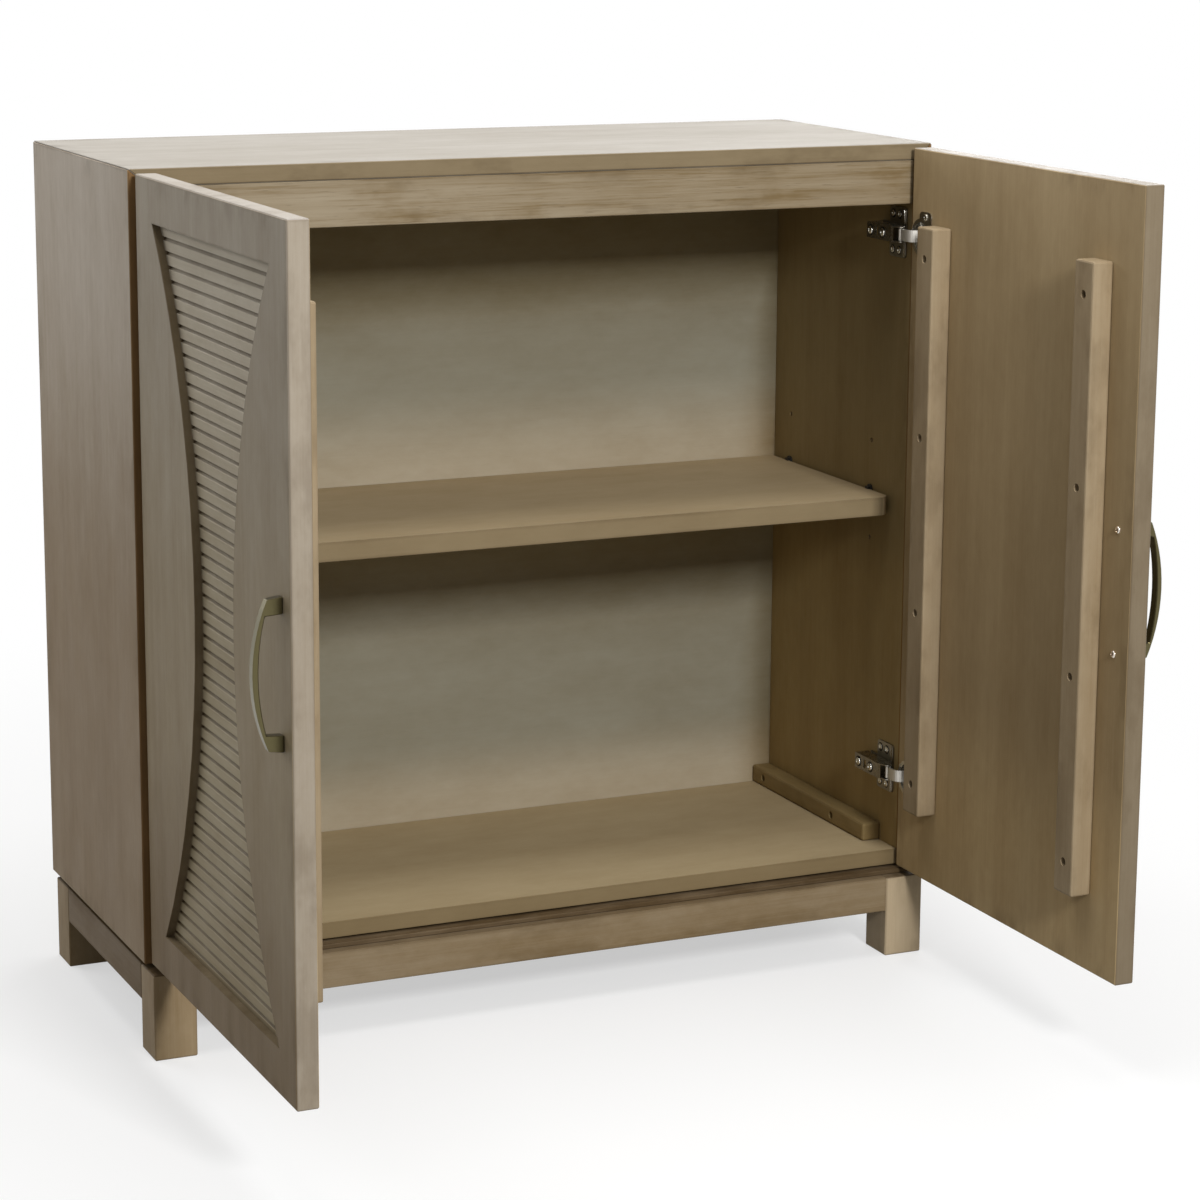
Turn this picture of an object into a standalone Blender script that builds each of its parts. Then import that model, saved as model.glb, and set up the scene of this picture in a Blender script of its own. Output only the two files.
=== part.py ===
"""Two-door chest: an open case on a legged base, with reeded doors on concealed hinges.

The chest stands with both doors open at a right angle. X runs across the front, Y runs
to the back and Z is up. The origin is on the floor, in the middle of the chest's extent.
"""

from math import acos, asin, atan2, cos, pi, radians, sin, sqrt

import bmesh
import bpy
from mathutils import Matrix, Vector

MM = 0.001
GAP = 0.3 * MM
# How far a cutter runs past the face that it cuts
OVERCUT = 4 * MM

# Case: outer width, depth and height, without the base
CASE_WIDTH = 914 * MM
CASE_DEPTH = 360 * MM
CASE_HEIGHT = 825 * MM
SIDE_THICKNESS = 22 * MM
TOP_THICKNESS = 18 * MM
BOTTOM_THICKNESS = 18 * MM
BOTTOM_RISE = 2 * MM
BACK_THICKNESS = 8 * MM
BACK_INSET = 32 * MM
TOP_RAIL_HEIGHT = 48 * MM
TOP_RAIL_THICKNESS = 20 * MM
EDGE_ROUND = 1.2 * MM

# Shelf, its clips and the row of holes that the clips plug into
SHELF_TOP = 425.5 * MM
SHELF_THICKNESS = 21 * MM
SHELF_SETBACK = 28 * MM
SHELF_CORNER = 15 * MM
SHELF_END_GAP = 2.6 * MM
CLIP_ROWS = (81 * MM, 279 * MM)
CLIP_WIDTH = 11 * MM
CLIP_DROP = 3 * MM
CLIP_FOOT_REACH = 12 * MM
CLIP_LIP_REACH = 5 * MM
CLIP_LIP_HEIGHT = 3 * MM
CLIP_LIP_SHARE = 0.6
CLIP_OVERLAP = 0.5 * MM
PLUG_RADIUS = 2.4 * MM
PLUG_LENGTH = 8 * MM
HOLE_RADIUS = 2.8 * MM
HOLE_DEPTH = 10 * MM
HOLE_PITCH = 56.25 * MM

# Cleats on the case floor, along both sides
CLEAT_HEIGHT = 21 * MM
CLEAT_WIDTH = 23 * MM
CLEAT_FRONT = 39 * MM
CLEAT_HOLES = (117 * MM, 291 * MM)
CLEAT_ROUND = 2.5 * MM

# Base: a leg at each corner, four rails and a thin board that leaves a reveal
BASE_HEIGHT = 98 * MM
REVEAL_HEIGHT = 5 * MM
REVEAL_SETBACK = 12 * MM
BASE_SIDE_INSET = 2 * MM
BASE_BACK_INSET = 10 * MM
LEG_SIZE = 46 * MM
RAIL_HEIGHT = 39 * MM
RAIL_THICKNESS = 22 * MM

# Doors: they cover the front edges of the case
DOOR_THICKNESS = 22 * MM
DOOR_HEIGHT = 818 * MM
DOOR_LIFT = 3 * MM
DOOR_SIDE_INSET = 0.5 * MM
DOOR_MEETING_GAP = 2 * MM
DOOR_CASE_GAP = 2.5 * MM
DOOR_WIDTH = CASE_WIDTH / 2 - DOOR_SIDE_INSET - DOOR_MEETING_GAP / 2

# Hourglass recess in each door's face, and the slats that line it
RECESS_FROM_EDGE = 230.5 * MM
RECESS_BOTTOM = 48.5 * MM
RECESS_HEIGHT = 728.5 * MM
RECESS_HALF_WIDTH = 177 * MM
RECESS_HALF_WAIST = 60 * MM
RECESS_DEPTH = 14 * MM
RECESS_ARC_STEPS = 16
SLAT_FACE_DEPTH = 8 * MM
SLAT_PITCH = 13.36 * MM
FIRST_GROOVE = 9.1 * MM
GROOVE_COUNT = 54
GROOVE_HEIGHT = 4.4 * MM
GROOVE_FLOOR = 1.8 * MM
GROOVE_DEPTH = 2.6 * MM
PANEL_MARGIN = 2 * MM

# Two battens on each door's inner face
BATTEN_HEIGHT = 656 * MM
BATTEN_BOTTOM = 85 * MM
BATTEN_WIDTH = 34 * MM
BATTEN_THICKNESS = 23.5 * MM
BATTEN_EDGES = (52 * MM, 369.5 * MM)
BATTEN_ROUND = 2 * MM
BATTEN_HOLE_PITCH = 196 * MM
COUNTERBORE_RADIUS = 4.6 * MM
COUNTERBORE_DEPTH = 11 * MM

# Bow pulls: screw centres, reach and the bow's two arcs
PULL_CENTRES = 128 * MM
PULL_FROM_EDGE = 26 * MM
PULL_HEIGHT = 410 * MM
PULL_WIDTH = 10.5 * MM
PULL_REACH = 29.5 * MM
PULL_BOW_THICKNESS = 5.6 * MM
PULL_FOOT_HEIGHT = 16 * MM
PULL_FOOT_REACH = 15 * MM
PULL_SHOULDER = 2 * MM
PULL_ROUND = 0.8 * MM

# Concealed hinges: heights, cup, arm and the place of the door when it stands open
HINGE_HEIGHTS = {"lower": 111 * MM, "upper": 725 * MM}
CUP_FROM_EDGE = 21.5 * MM
CUP_RADIUS = 17.4 * MM
CUP_INNER_RADIUS = 16.3 * MM
CUP_DEPTH = 12.8 * MM
CUP_FLOOR = 1 * MM
CUP_BORE_RADIUS = 17.8 * MM
FLANGE_THICKNESS = 1 * MM
FLANGE_RADIUS = 20.5 * MM
FLANGE_HALF_HEIGHT = 28.5 * MM
EAR_FROM_EDGE = 31 * MM
EAR_HALF_WIDTH = 13 * MM
EAR_CORNER = 6 * MM
OPEN_INSET = 5 * MM
OPEN_CLEARANCE = 8 * MM
OPEN_ANGLE = radians(90)
LINK_SHARE = 0.35
PIN_RADIUS = 1.3 * MM
EYE_RADIUS = 3 * MM
LINK_HALF_WIDTH = 6.5 * MM
LINK_HALF_THICKNESS = 1.2 * MM
LINK_STEPS = 12
LINK_EYE_STEPS = 14
LINK_CUP_LEAN = (13 * MM, radians(-12))
LINK_ARM_LEAN = (15 * MM, radians(-75))
ARM_HALF_WIDTH = 8.75 * MM
ARM_WALL = 1.2 * MM
ARM_TOP = 42 * MM
ARM_FOOT = 24.8 * MM
ARM_REAR = 67 * MM
ARM_SHOULDER = 12 * MM
ARM_HEEL = 18 * MM
ARM_NOSE_RADIUS = 4.6 * MM
ARM_SLOT_Y = 44 * MM
ARM_SLOT_HALF_WIDTH = 2.5 * MM
ARM_SLOT_HALF_HEIGHT = 5 * MM
PLATE_THICKNESS = 2 * MM
PLATE_FRONT = 10.5 * MM
PLATE_REAR = 46 * MM
PLATE_TAIL = 62 * MM
PLATE_HALF_HEIGHT = 28 * MM
PLATE_HALF_BODY = 10 * MM
PLATE_CORNER = 4 * MM
PLATE_HOLES_Y = (24.5 * MM, 39 * MM)
PLATE_HOLE_Z = 20 * MM
PLATE_HOLE_RADIUS = 2.3 * MM

# Where the case's front plane lies in Y, so that the open chest is centred on the origin
FRONT_Y = (OPEN_CLEARANCE + DOOR_WIDTH - CASE_DEPTH) / 2

SIDES = {"left": -1, "right": 1}

# Colour, roughness and metallic value of each material
MATERIALS = {
    "taupe_wood": ((0.29, 0.25, 0.20, 1), 0.55, 0.0),
    "reeded_wood": ((0.27, 0.235, 0.19, 1), 0.55, 0.0),
    "inner_wood": ((0.24, 0.20, 0.145, 1), 0.6, 0.0),
    "dark_steel": ((0.10, 0.10, 0.095, 1), 0.3, 1.0),
    "pale_steel": ((0.55, 0.54, 0.50, 1), 0.35, 1.0),
    "aged_brass": ((0.42, 0.37, 0.22, 1), 0.35, 1.0),
    "black_plastic": ((0.02, 0.02, 0.02, 1), 0.4, 0.0),
}


def clear_scene():
    """Take away what a new file holds."""
    for obj in list(bpy.data.objects):
        bpy.data.objects.remove(obj)


def new_collection(name):
    collection = bpy.data.collections.new(name)
    bpy.context.scene.collection.children.link(collection)
    return collection


def make_material(name):
    colour, roughness, metallic = MATERIALS[name]
    material = bpy.data.materials.new(name)
    material.use_nodes = True
    shader = material.node_tree.nodes["Principled BSDF"]
    shader.inputs["Base Color"].default_value = colour
    shader.inputs["Roughness"].default_value = roughness
    shader.inputs["Metallic"].default_value = metallic
    material.diffuse_color = colour
    return material


class Bench:
    """Holds the collections and materials, and the empty that new objects hang on."""

    def __init__(self):
        self.parts = new_collection("two_door_chest")
        self.cutters = new_collection("cutters")
        self.materials = {name: make_material(name) for name in MATERIALS}
        self.parent = None

    def add(self, obj, material=None):
        """Place an object: a part if it has a material, or else a cutter."""
        collection = self.parts if material else self.cutters
        for old in list(obj.users_collection):
            old.objects.unlink(obj)
        collection.objects.link(obj)
        if material:
            obj.data.materials.clear()
            obj.data.materials.append(self.materials[material])
        else:
            obj.hide_render = True
            obj.display_type = "WIRE"
        obj.parent = self.parent
        return obj

    def hang_from(self, name, location, turn=0.0):
        """Make an empty on a joint's axis, which carries what is added next."""
        empty = bpy.data.objects.new(name, None)
        empty.location = location
        empty.rotation_euler = (0, 0, turn)
        self.parts.objects.link(empty)
        self.parent = empty
        return empty


def mesh_object(name, fill):
    """A new object whose mesh is filled by a function of a bmesh."""
    mesh = bpy.data.meshes.new(name)
    bm = bmesh.new()
    fill(bm)
    bm.to_mesh(mesh)
    bm.free()
    return bpy.data.objects.new(name, mesh)


def round_edges(obj, width, segments=1, angle=radians(40)):
    bevel = obj.modifiers.new("rounded edges", "BEVEL")
    bevel.width = width
    bevel.segments = segments
    bevel.limit_method = "ANGLE"
    bevel.angle_limit = angle
    return obj


def box(bench, name, low, high, material=None, rounding=0.0, segments=1):
    """A box between two corners."""
    low, high = Vector(low), Vector(high)
    corners = [(min(a, b), max(a, b)) for a, b in zip(low, high)]
    size = [b - a for a, b in corners]
    centre = [(a + b) / 2 for a, b in corners]

    def fill(bm):
        bmesh.ops.create_cube(bm, size=1, matrix=Matrix.Diagonal((*size, 1)))

    obj = mesh_object(name, fill)
    obj.location = centre
    if rounding:
        round_edges(obj, rounding, segments)
    return bench.add(obj, material)


AXIS_TURNS = {"x": Matrix.Rotation(pi / 2, 4, "Y"), "y": Matrix.Rotation(-pi / 2, 4, "X"), "z": Matrix()}


def cylinder(bench, name, centre, axis, radius, length, material=None, segments=16):
    """A cylinder centred on a point, along one axis."""

    def fill(bm):
        bmesh.ops.create_cone(bm, cap_ends=True, segments=segments, radius1=radius, radius2=radius,
                              depth=length, matrix=AXIS_TURNS[axis])

    obj = mesh_object(name, fill)
    obj.location = centre
    return bench.add(obj, material)


# How a flat outline's own X, Y and Z lie in the chest, by the name of its plane
PLANE_TURNS = {"xy": (0, 0, 0), "xz": (pi / 2, 0, 0), "yz": (pi / 2, 0, pi / 2)}


def plate(bench, name, loops, plane, centre, thickness, material=None, rounding=0.0, segments=1):
    """A flat outline, with any holes, made thick on both sides of its plane."""
    curve = bpy.data.curves.new(name, "CURVE")
    curve.dimensions = "2D"
    curve.fill_mode = "BOTH"
    curve.extrude = thickness / 2
    for loop in loops:
        spline = curve.splines.new("POLY")
        spline.points.add(len(loop) - 1)
        for point, (u, v) in zip(spline.points, loop):
            point.co = (u, v, 0, 1)
        spline.use_cyclic_u = True
    guide = bpy.data.objects.new(name + "_outline", curve)
    guide.location = centre
    guide.rotation_euler = PLANE_TURNS[plane]
    bench.cutters.objects.link(guide)
    bpy.context.view_layer.update()
    evaluated = guide.evaluated_get(bpy.context.evaluated_depsgraph_get())
    mesh = bpy.data.meshes.new_from_object(evaluated)
    bm = bmesh.new()
    bm.from_mesh(mesh)
    bmesh.ops.remove_doubles(bm, verts=bm.verts, dist=0.01 * MM)
    bmesh.ops.recalc_face_normals(bm, faces=bm.faces)
    bm.to_mesh(mesh)
    bm.free()
    obj = bpy.data.objects.new(name, mesh)
    obj.matrix_world = guide.matrix_world.copy()
    bpy.data.objects.remove(guide)
    if rounding:
        round_edges(obj, rounding, segments)
    return bench.add(obj, material)


def boolean(obj, other, operation):
    modifier = obj.modifiers.new(operation.lower(), "BOOLEAN")
    modifier.operation = operation
    modifier.solver = "EXACT"
    modifier.object = other
    return obj


def cut(obj, *others):
    for other in others:
        boolean(obj, other, "DIFFERENCE")
    return obj


def join(obj, *others):
    for other in others:
        boolean(obj, other, "UNION")
    return obj


def smooth(obj, angle=radians(35)):
    obj.data.shade_smooth()
    obj.data.set_sharp_from_angle(angle=angle)
    return obj


def arc(centre, radius, start, end, steps):
    """Points along an arc, both ends included."""
    return [(centre[0] + radius * cos(start + (end - start) * i / steps),
             centre[1] + radius * sin(start + (end - start) * i / steps)) for i in range(steps + 1)]


def chord_arc(start, end, bulge, steps):
    """Points of the arc from start to end that passes bulge to the left of their chord."""
    a, b = Vector(start), Vector(end)
    half = (b - a).length / 2
    along = (b - a).normalized()
    left = Vector((-along.y, along.x))
    radius = (half * half + bulge * bulge) / (2 * bulge)
    centre = (a + b) / 2 + left * (bulge - radius)
    reach = asin(half / abs(radius))
    middle = atan2(left.y, left.x) if bulge > 0 else atan2(-left.y, -left.x)
    turn = reach if bulge > 0 else -reach
    return arc(centre, abs(radius), middle + turn, middle - turn, steps)


def turned(point, angle):
    """A plan vector turned about the origin."""
    return Vector((point[0] * cos(angle) - point[1] * sin(angle),
                   point[0] * sin(angle) + point[1] * cos(angle)))


def place(side, x, y, z):
    """World place of a point: x in from the case's outer side, y back from its front, z from its foot."""
    sign = SIDES[side]
    return Vector((sign * (CASE_WIDTH / 2 - x), FRONT_Y + y, BASE_HEIGHT + z))


# Hinge geometry in plan, for the left door: x in from the outer side, y back from the case front
ARM_PIVOT = Vector((34 * MM, 4 * MM))


def cup_pivot_closed():
    """The cup pin's place when the door is shut.

    The link turns by LINK_SHARE of the door's angle, the other way. That and the door's two
    places fix the pin: two linear equations in its x and y.
    """
    shut = Vector((DOOR_SIDE_INSET, -DOOR_CASE_GAP - DOOR_THICKNESS))
    wide = Vector((OPEN_INSET, -OPEN_CLEARANCE))
    link_turn = LINK_SHARE * OPEN_ANGLE
    m = Matrix.Rotation(link_turn, 2) - Matrix.Rotation(-OPEN_ANGLE, 2)
    right = wide - ARM_PIVOT + turned(ARM_PIVOT, link_turn) - turned(shut, -OPEN_ANGLE)
    return m.inverted() @ right


CUP_PIVOT_SHUT = cup_pivot_closed()
CUP_PIVOT = ARM_PIVOT + turned(CUP_PIVOT_SHUT - ARM_PIVOT, LINK_SHARE * OPEN_ANGLE)
# The cup pin in the door: from the hinge edge, and below the door's inner face
PIN_FROM_EDGE = CUP_PIVOT_SHUT.x - DOOR_SIDE_INSET
PIN_BELOW_FACE = -(CUP_PIVOT_SHUT.y + DOOR_CASE_GAP)


def build_case(bench):
    """Sides and top mitred together, bottom, back and the rail under the top."""
    half = CASE_WIDTH / 2
    inner = half - SIDE_THICKNESS
    under_top = CASE_HEIGHT - TOP_THICKNESS
    middle_y = FRONT_Y + CASE_DEPTH / 2
    mitre_gap = GAP * sqrt(2)
    for side, sign in SIDES.items():
        outline = [(sign * half, 0), (sign * half, CASE_HEIGHT - mitre_gap),
                   (sign * inner, under_top - mitre_gap), (sign * inner, 0)]
        panel = plate(bench, f"case_side_{side}", [outline], "xz", (0, middle_y, BASE_HEIGHT),
                      CASE_DEPTH, "taupe_wood", EDGE_ROUND)
        for row in CLIP_ROWS:
            for step in (-1, 0, 1):
                mouth = place(side, SIDE_THICKNESS, row, SHELF_TOP + step * HOLE_PITCH)
                hole = cylinder(bench, f"clip_hole_{side}", mouth, "x", HOLE_RADIUS, 2 * HOLE_DEPTH)
                cut(panel, hole)
    outline = [(-half, CASE_HEIGHT), (half, CASE_HEIGHT), (inner, under_top), (-inner, under_top)]
    plate(bench, "case_top", [outline], "xz", (0, middle_y, BASE_HEIGHT), CASE_DEPTH,
          "taupe_wood", EDGE_ROUND)

    span = inner - GAP
    back_face = FRONT_Y + CASE_DEPTH - BACK_INSET - BACK_THICKNESS
    floor = BASE_HEIGHT + BOTTOM_RISE
    box(bench, "case_bottom", (-span, FRONT_Y, floor), (span, back_face - GAP, floor + BOTTOM_THICKNESS),
        "inner_wood", EDGE_ROUND / 2)
    box(bench, "case_back", (-span, back_face, floor),
        (span, back_face + BACK_THICKNESS, BASE_HEIGHT + under_top - GAP), "inner_wood")
    box(bench, "top_front_rail", (-span, FRONT_Y, BASE_HEIGHT + under_top - TOP_RAIL_HEIGHT),
        (span, FRONT_Y + TOP_RAIL_THICKNESS, BASE_HEIGHT + under_top - GAP), "taupe_wood", EDGE_ROUND / 2)


def build_shelf(bench):
    """The shelf, round at its front corners and held near each corner by a clip."""
    reach = CASE_WIDTH / 2 - SIDE_THICKNESS - SHELF_END_GAP
    front = FRONT_Y + SHELF_SETBACK
    back = FRONT_Y + CASE_DEPTH - BACK_INSET - BACK_THICKNESS - GAP
    corner = SHELF_CORNER
    outline = [(reach, back), (-reach, back)]
    outline += arc((corner - reach, front + corner), corner, pi, 3 * pi / 2, 6)
    outline += arc((reach - corner, front + corner), corner, -pi / 2, 0, 6)
    middle = (0, 0, BASE_HEIGHT + SHELF_TOP - SHELF_THICKNESS / 2)
    plate(bench, "shelf", [outline], "xy", middle, SHELF_THICKNESS, "inner_wood", EDGE_ROUND)
    for side in SIDES:
        for row, where in zip(CLIP_ROWS, ("front", "rear")):
            shelf_clip(bench, side, row, f"shelf_clip_{side}_{where}")


def shelf_clip(bench, side, row, name):
    """Clip that plugs into the side: a leg by the shelf's end, a foot under it and a lip over it."""
    wall = SIDE_THICKNESS + GAP
    leg_thickness = SHELF_END_GAP - 2 * GAP
    start = wall + leg_thickness - CLIP_OVERLAP
    low = SHELF_TOP - SHELF_THICKNESS - CLIP_DROP
    half = CLIP_WIDTH / 2
    lip_half = CLIP_LIP_SHARE * half
    leg = box(bench, name, place(side, wall, row - half, low),
              place(side, wall + leg_thickness, row + half, SHELF_TOP), "black_plastic")
    head = cylinder(bench, name + "_head", place(side, wall + leg_thickness / 2, row, SHELF_TOP),
                    "x", half, leg_thickness, segments=24)
    foot = box(bench, name + "_foot", place(side, start, row - half, low),
               place(side, wall + CLIP_FOOT_REACH, row + half, SHELF_TOP - SHELF_THICKNESS - GAP))
    lip = box(bench, name + "_lip", place(side, start, row - lip_half, SHELF_TOP + GAP),
              place(side, wall + CLIP_LIP_REACH, row + lip_half, SHELF_TOP + CLIP_LIP_HEIGHT))
    plug_middle = wall - PLUG_LENGTH / 2 + CLIP_OVERLAP
    plug = cylinder(bench, name + "_plug", place(side, plug_middle, row, SHELF_TOP),
                    "x", PLUG_RADIUS, PLUG_LENGTH)
    join(leg, head, foot, lip, plug)


def build_cleats(bench):
    """A batten on the case floor along each side, with two screw recesses."""
    back_face = CASE_DEPTH - BACK_INSET - BACK_THICKNESS
    low = BOTTOM_RISE + BOTTOM_THICKNESS + GAP
    wall = SIDE_THICKNESS + GAP
    for side in SIDES:
        inner = wall + CLEAT_WIDTH
        cleat = box(bench, f"floor_cleat_{side}", place(side, wall, CLEAT_FRONT, low),
                    place(side, inner, back_face - GAP, low + CLEAT_HEIGHT), "inner_wood", CLEAT_ROUND, 2)
        for y in CLEAT_HOLES:
            hole = cylinder(bench, f"cleat_hole_{side}", place(side, inner, y, low + CLEAT_HEIGHT / 2),
                            "x", COUNTERBORE_RADIUS, 2 * COUNTERBORE_DEPTH)
            cut(cleat, hole)


def build_base(bench):
    """Four square legs, a rail along each edge and the reveal board over them."""
    half = CASE_WIDTH / 2 - BASE_SIDE_INSET
    front = FRONT_Y - DOOR_CASE_GAP - DOOR_THICKNESS
    back = FRONT_Y + CASE_DEPTH - BASE_BACK_INSET
    top = BASE_HEIGHT - REVEAL_HEIGHT - GAP
    for where, y in (("front", front), ("back", back - LEG_SIZE)):
        for side, sign in SIDES.items():
            box(bench, f"leg_{where}_{side}", (sign * half, y, 0),
                (sign * (half - LEG_SIZE), y + LEG_SIZE, top), "taupe_wood", EDGE_ROUND)
    reach = half - LEG_SIZE - GAP
    low = top - RAIL_HEIGHT
    for where, y in (("front", front), ("back", back - RAIL_THICKNESS)):
        box(bench, f"base_rail_{where}", (-reach, y, low), (reach, y + RAIL_THICKNESS, top),
            "taupe_wood", EDGE_ROUND / 2)
    for side, sign in SIDES.items():
        box(bench, f"base_rail_{side}", (sign * half, front + LEG_SIZE + GAP, low),
            (sign * (half - RAIL_THICKNESS), back - LEG_SIZE - GAP, top), "taupe_wood", EDGE_ROUND / 2)
    board = half - REVEAL_SETBACK
    box(bench, "reveal_board", (-board, front + REVEAL_SETBACK, BASE_HEIGHT - REVEAL_HEIGHT),
        (board, back - REVEAL_SETBACK, BASE_HEIGHT - GAP), "taupe_wood", EDGE_ROUND / 2)


def hinge_plate(bench, side, level, z):
    """Winged mounting plate on the case side, with two screw holes in each wing."""
    wing, body, corner = PLATE_HALF_HEIGHT, PLATE_HALF_BODY, PLATE_CORNER

    def corner_arc(y, v, start):
        return arc((y, v), corner, start, start + pi / 2, 3)

    outline = corner_arc(PLATE_REAR - corner, wing - corner, 0)
    outline += corner_arc(PLATE_FRONT + corner, wing - corner, pi / 2)
    outline += corner_arc(PLATE_FRONT + corner, corner - wing, pi)
    outline += corner_arc(PLATE_REAR - corner, corner - wing, 3 * pi / 2)
    outline += [(PLATE_REAR, -body), (PLATE_TAIL, -body), (PLATE_TAIL, body), (PLATE_REAR, body)]
    holes = [arc((y, v), PLATE_HOLE_RADIUS, 0, 2 * pi * 11 / 12, 11)
             for y in PLATE_HOLES_Y for v in (-PLATE_HOLE_Z, PLATE_HOLE_Z)]
    centre = place(side, SIDE_THICKNESS + GAP + PLATE_THICKNESS / 2, 0, z)
    name = f"hinge_plate_{side}_{level}"
    plate(bench, name, [outline, *holes], "yz", centre, PLATE_THICKNESS, "dark_steel")


def hinge_arm(bench, side, level, z):
    """Channel that clips to the plate, with a rounded nose round the arm pin."""
    sign = SIDES[side]
    pivot = ARM_PIVOT

    def plan(x, y):
        return sign * (pivot.x - x), y

    nose = arc((pivot.x, pivot.y), ARM_NOSE_RADIUS, 0, -pi, 8)
    outline = [plan(ARM_FOOT, ARM_REAR), plan(ARM_TOP, ARM_REAR), plan(ARM_TOP, ARM_SHOULDER)]
    outline += [plan(x, y) for x, y in nose]
    outline += [plan(ARM_FOOT, ARM_HEEL)]
    centre = place(side, pivot.x, 0, z)
    name = f"hinge_arm_{side}_{level}"
    arm = plate(bench, name, [outline], "xy", centre, 2 * ARM_HALF_WIDTH, "dark_steel")
    inside = ARM_HALF_WIDTH - ARM_WALL
    nose_end = pivot.y - ARM_NOSE_RADIUS
    hollow = box(bench, name + "_hollow", place(side, ARM_FOOT - OVERCUT, nose_end - OVERCUT, z - inside),
                 place(side, ARM_TOP - ARM_WALL, ARM_REAR + OVERCUT, z + inside))
    slot_low, slot_high = ARM_SLOT_Y - ARM_SLOT_HALF_WIDTH, ARM_SLOT_Y + ARM_SLOT_HALF_WIDTH
    slot = box(bench, name + "_slot", place(side, ARM_TOP - OVERCUT, slot_low, z - ARM_SLOT_HALF_HEIGHT),
               place(side, ARM_TOP + OVERCUT, slot_high, z + ARM_SLOT_HALF_HEIGHT))
    cut(arm, hollow, slot)
    pin = cylinder(bench, name + "_pin", place(side, pivot.x, pivot.y, z), "z", PIN_RADIUS,
                   2 * ARM_HALF_WIDTH - MM, segments=12)
    join(arm, pin)


def link_path():
    """Gooseneck from the cup pin to the arm pin in plan, bowed out to clear the cup's rim."""
    start, end = CUP_PIVOT, ARM_PIVOT
    first = start + turned((LINK_CUP_LEAN[0], 0), LINK_CUP_LEAN[1])
    second = end + turned((LINK_ARM_LEAN[0], 0), LINK_ARM_LEAN[1])
    points = []
    for i in range(LINK_STEPS + 1):
        t = i / LINK_STEPS
        a, b, c, d = (1 - t) ** 3, 3 * t * (1 - t) ** 2, 3 * t * t * (1 - t), t ** 3
        points.append(start * a + first * b + second * c + end * d)
    return points


def hinge_link(bench, side, level, z):
    """Curved link with an eye at each end, round the arm pin and the cup pin."""
    sign = SIDES[side]
    path = link_path()
    offsets = []
    for i, point in enumerate(path):
        ahead = path[min(i + 1, len(path) - 1)]
        behind = path[max(i - 1, 0)]
        along = (ahead - behind).normalized()
        offsets.append(Vector((-along.y, along.x)) * LINK_HALF_THICKNESS)
    inside = [i for i, p in enumerate(path)
              if (p - path[0]).length > EYE_RADIUS and (p - path[-1]).length > EYE_RADIUS]

    def eye(centre, neck):
        """The eye's outline, open where the neck leaves it."""
        heading = atan2(neck.y - centre.y, neck.x - centre.x)
        mouth = asin(LINK_HALF_THICKNESS / EYE_RADIUS)
        return arc(centre, EYE_RADIUS, heading + mouth, heading + 2 * pi - mouth, LINK_EYE_STEPS)

    outline = eye(path[0], path[inside[0]])
    outline += [path[i] - offsets[i] for i in inside]
    outline += eye(path[-1], path[inside[-1]])
    outline += [path[i] + offsets[i] for i in reversed(inside)]
    bore = PIN_RADIUS + GAP
    holes = [arc(centre, bore, 0, 2 * pi * 11 / 12, 11) for centre in (path[0], path[-1])]
    loops = [[(sign * (ARM_PIVOT.x - x), y - ARM_PIVOT.y) for x, y in loop] for loop in [outline, *holes]]
    link = plate(bench, f"hinge_link_{side}_{level}", loops, "xy", (0, 0, BASE_HEIGHT + z),
                 2 * LINK_HALF_WIDTH, "pale_steel")
    smooth(link)


def build_hinge_fixed(bench):
    """Plates and arms, which stay with the case."""
    for side in SIDES:
        for level, z in HINGE_HEIGHTS.items():
            hinge_plate(bench, side, level, z)
            hinge_arm(bench, side, level, z)


def build_links(bench, side):
    """Both links of a door, on the axis through the arm pins."""
    axis = place(side, ARM_PIVOT.x, ARM_PIVOT.y, -BASE_HEIGHT)
    bench.hang_from(f"arm_pin_axis_{side}", axis)
    for level, z in HINGE_HEIGHTS.items():
        hinge_link(bench, side, level, z)
    bench.parent = None


def door_point(side, u, v, z):
    """A point in the door's own frame.

    u runs from the hinge edge, v back from the inner face and z up from the case's foot.
    """
    sign = SIDES[side]
    return Vector((-sign * (u - PIN_FROM_EDGE), v + PIN_BELOW_FACE, BASE_HEIGHT + z))


def hourglass(side, clearance=0.0):
    """Outline of the recess: straight top and bottom, and sides that bow in to the waist."""
    low, high = RECESS_BOTTOM + clearance, RECESS_BOTTOM + RECESS_HEIGHT - clearance
    wide = RECESS_HALF_WIDTH - clearance
    bow = RECESS_HALF_WIDTH - RECESS_HALF_WAIST
    right = chord_arc((wide, low), (wide, high), bow, RECESS_ARC_STEPS)
    left = chord_arc((-wide, high), (-wide, low), bow, RECESS_ARC_STEPS)
    sign = SIDES[side]
    centre = -sign * (RECESS_FROM_EDGE - PIN_FROM_EDGE)
    return [(centre + x, BASE_HEIGHT + z) for x, z in right + left]


def slat_profile():
    """Edge-on outline of the slatted panel: depth behind the door's face against height."""
    back = RECESS_DEPTH - GAP
    face = SLAT_FACE_DEPTH
    floor = face + GROOVE_DEPTH
    low = RECESS_BOTTOM - PANEL_MARGIN
    high = RECESS_BOTTOM + RECESS_HEIGHT + PANEL_MARGIN
    points = [(back, low), (face, low)]
    for i in range(GROOVE_COUNT):
        top = RECESS_BOTTOM + FIRST_GROOVE + i * SLAT_PITCH
        points += [(face, top - GROOVE_HEIGHT), (floor, top - GROOVE_FLOOR), (floor, top), (face, top)]
    points += [(face, high), (back, high)]
    return points


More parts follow.
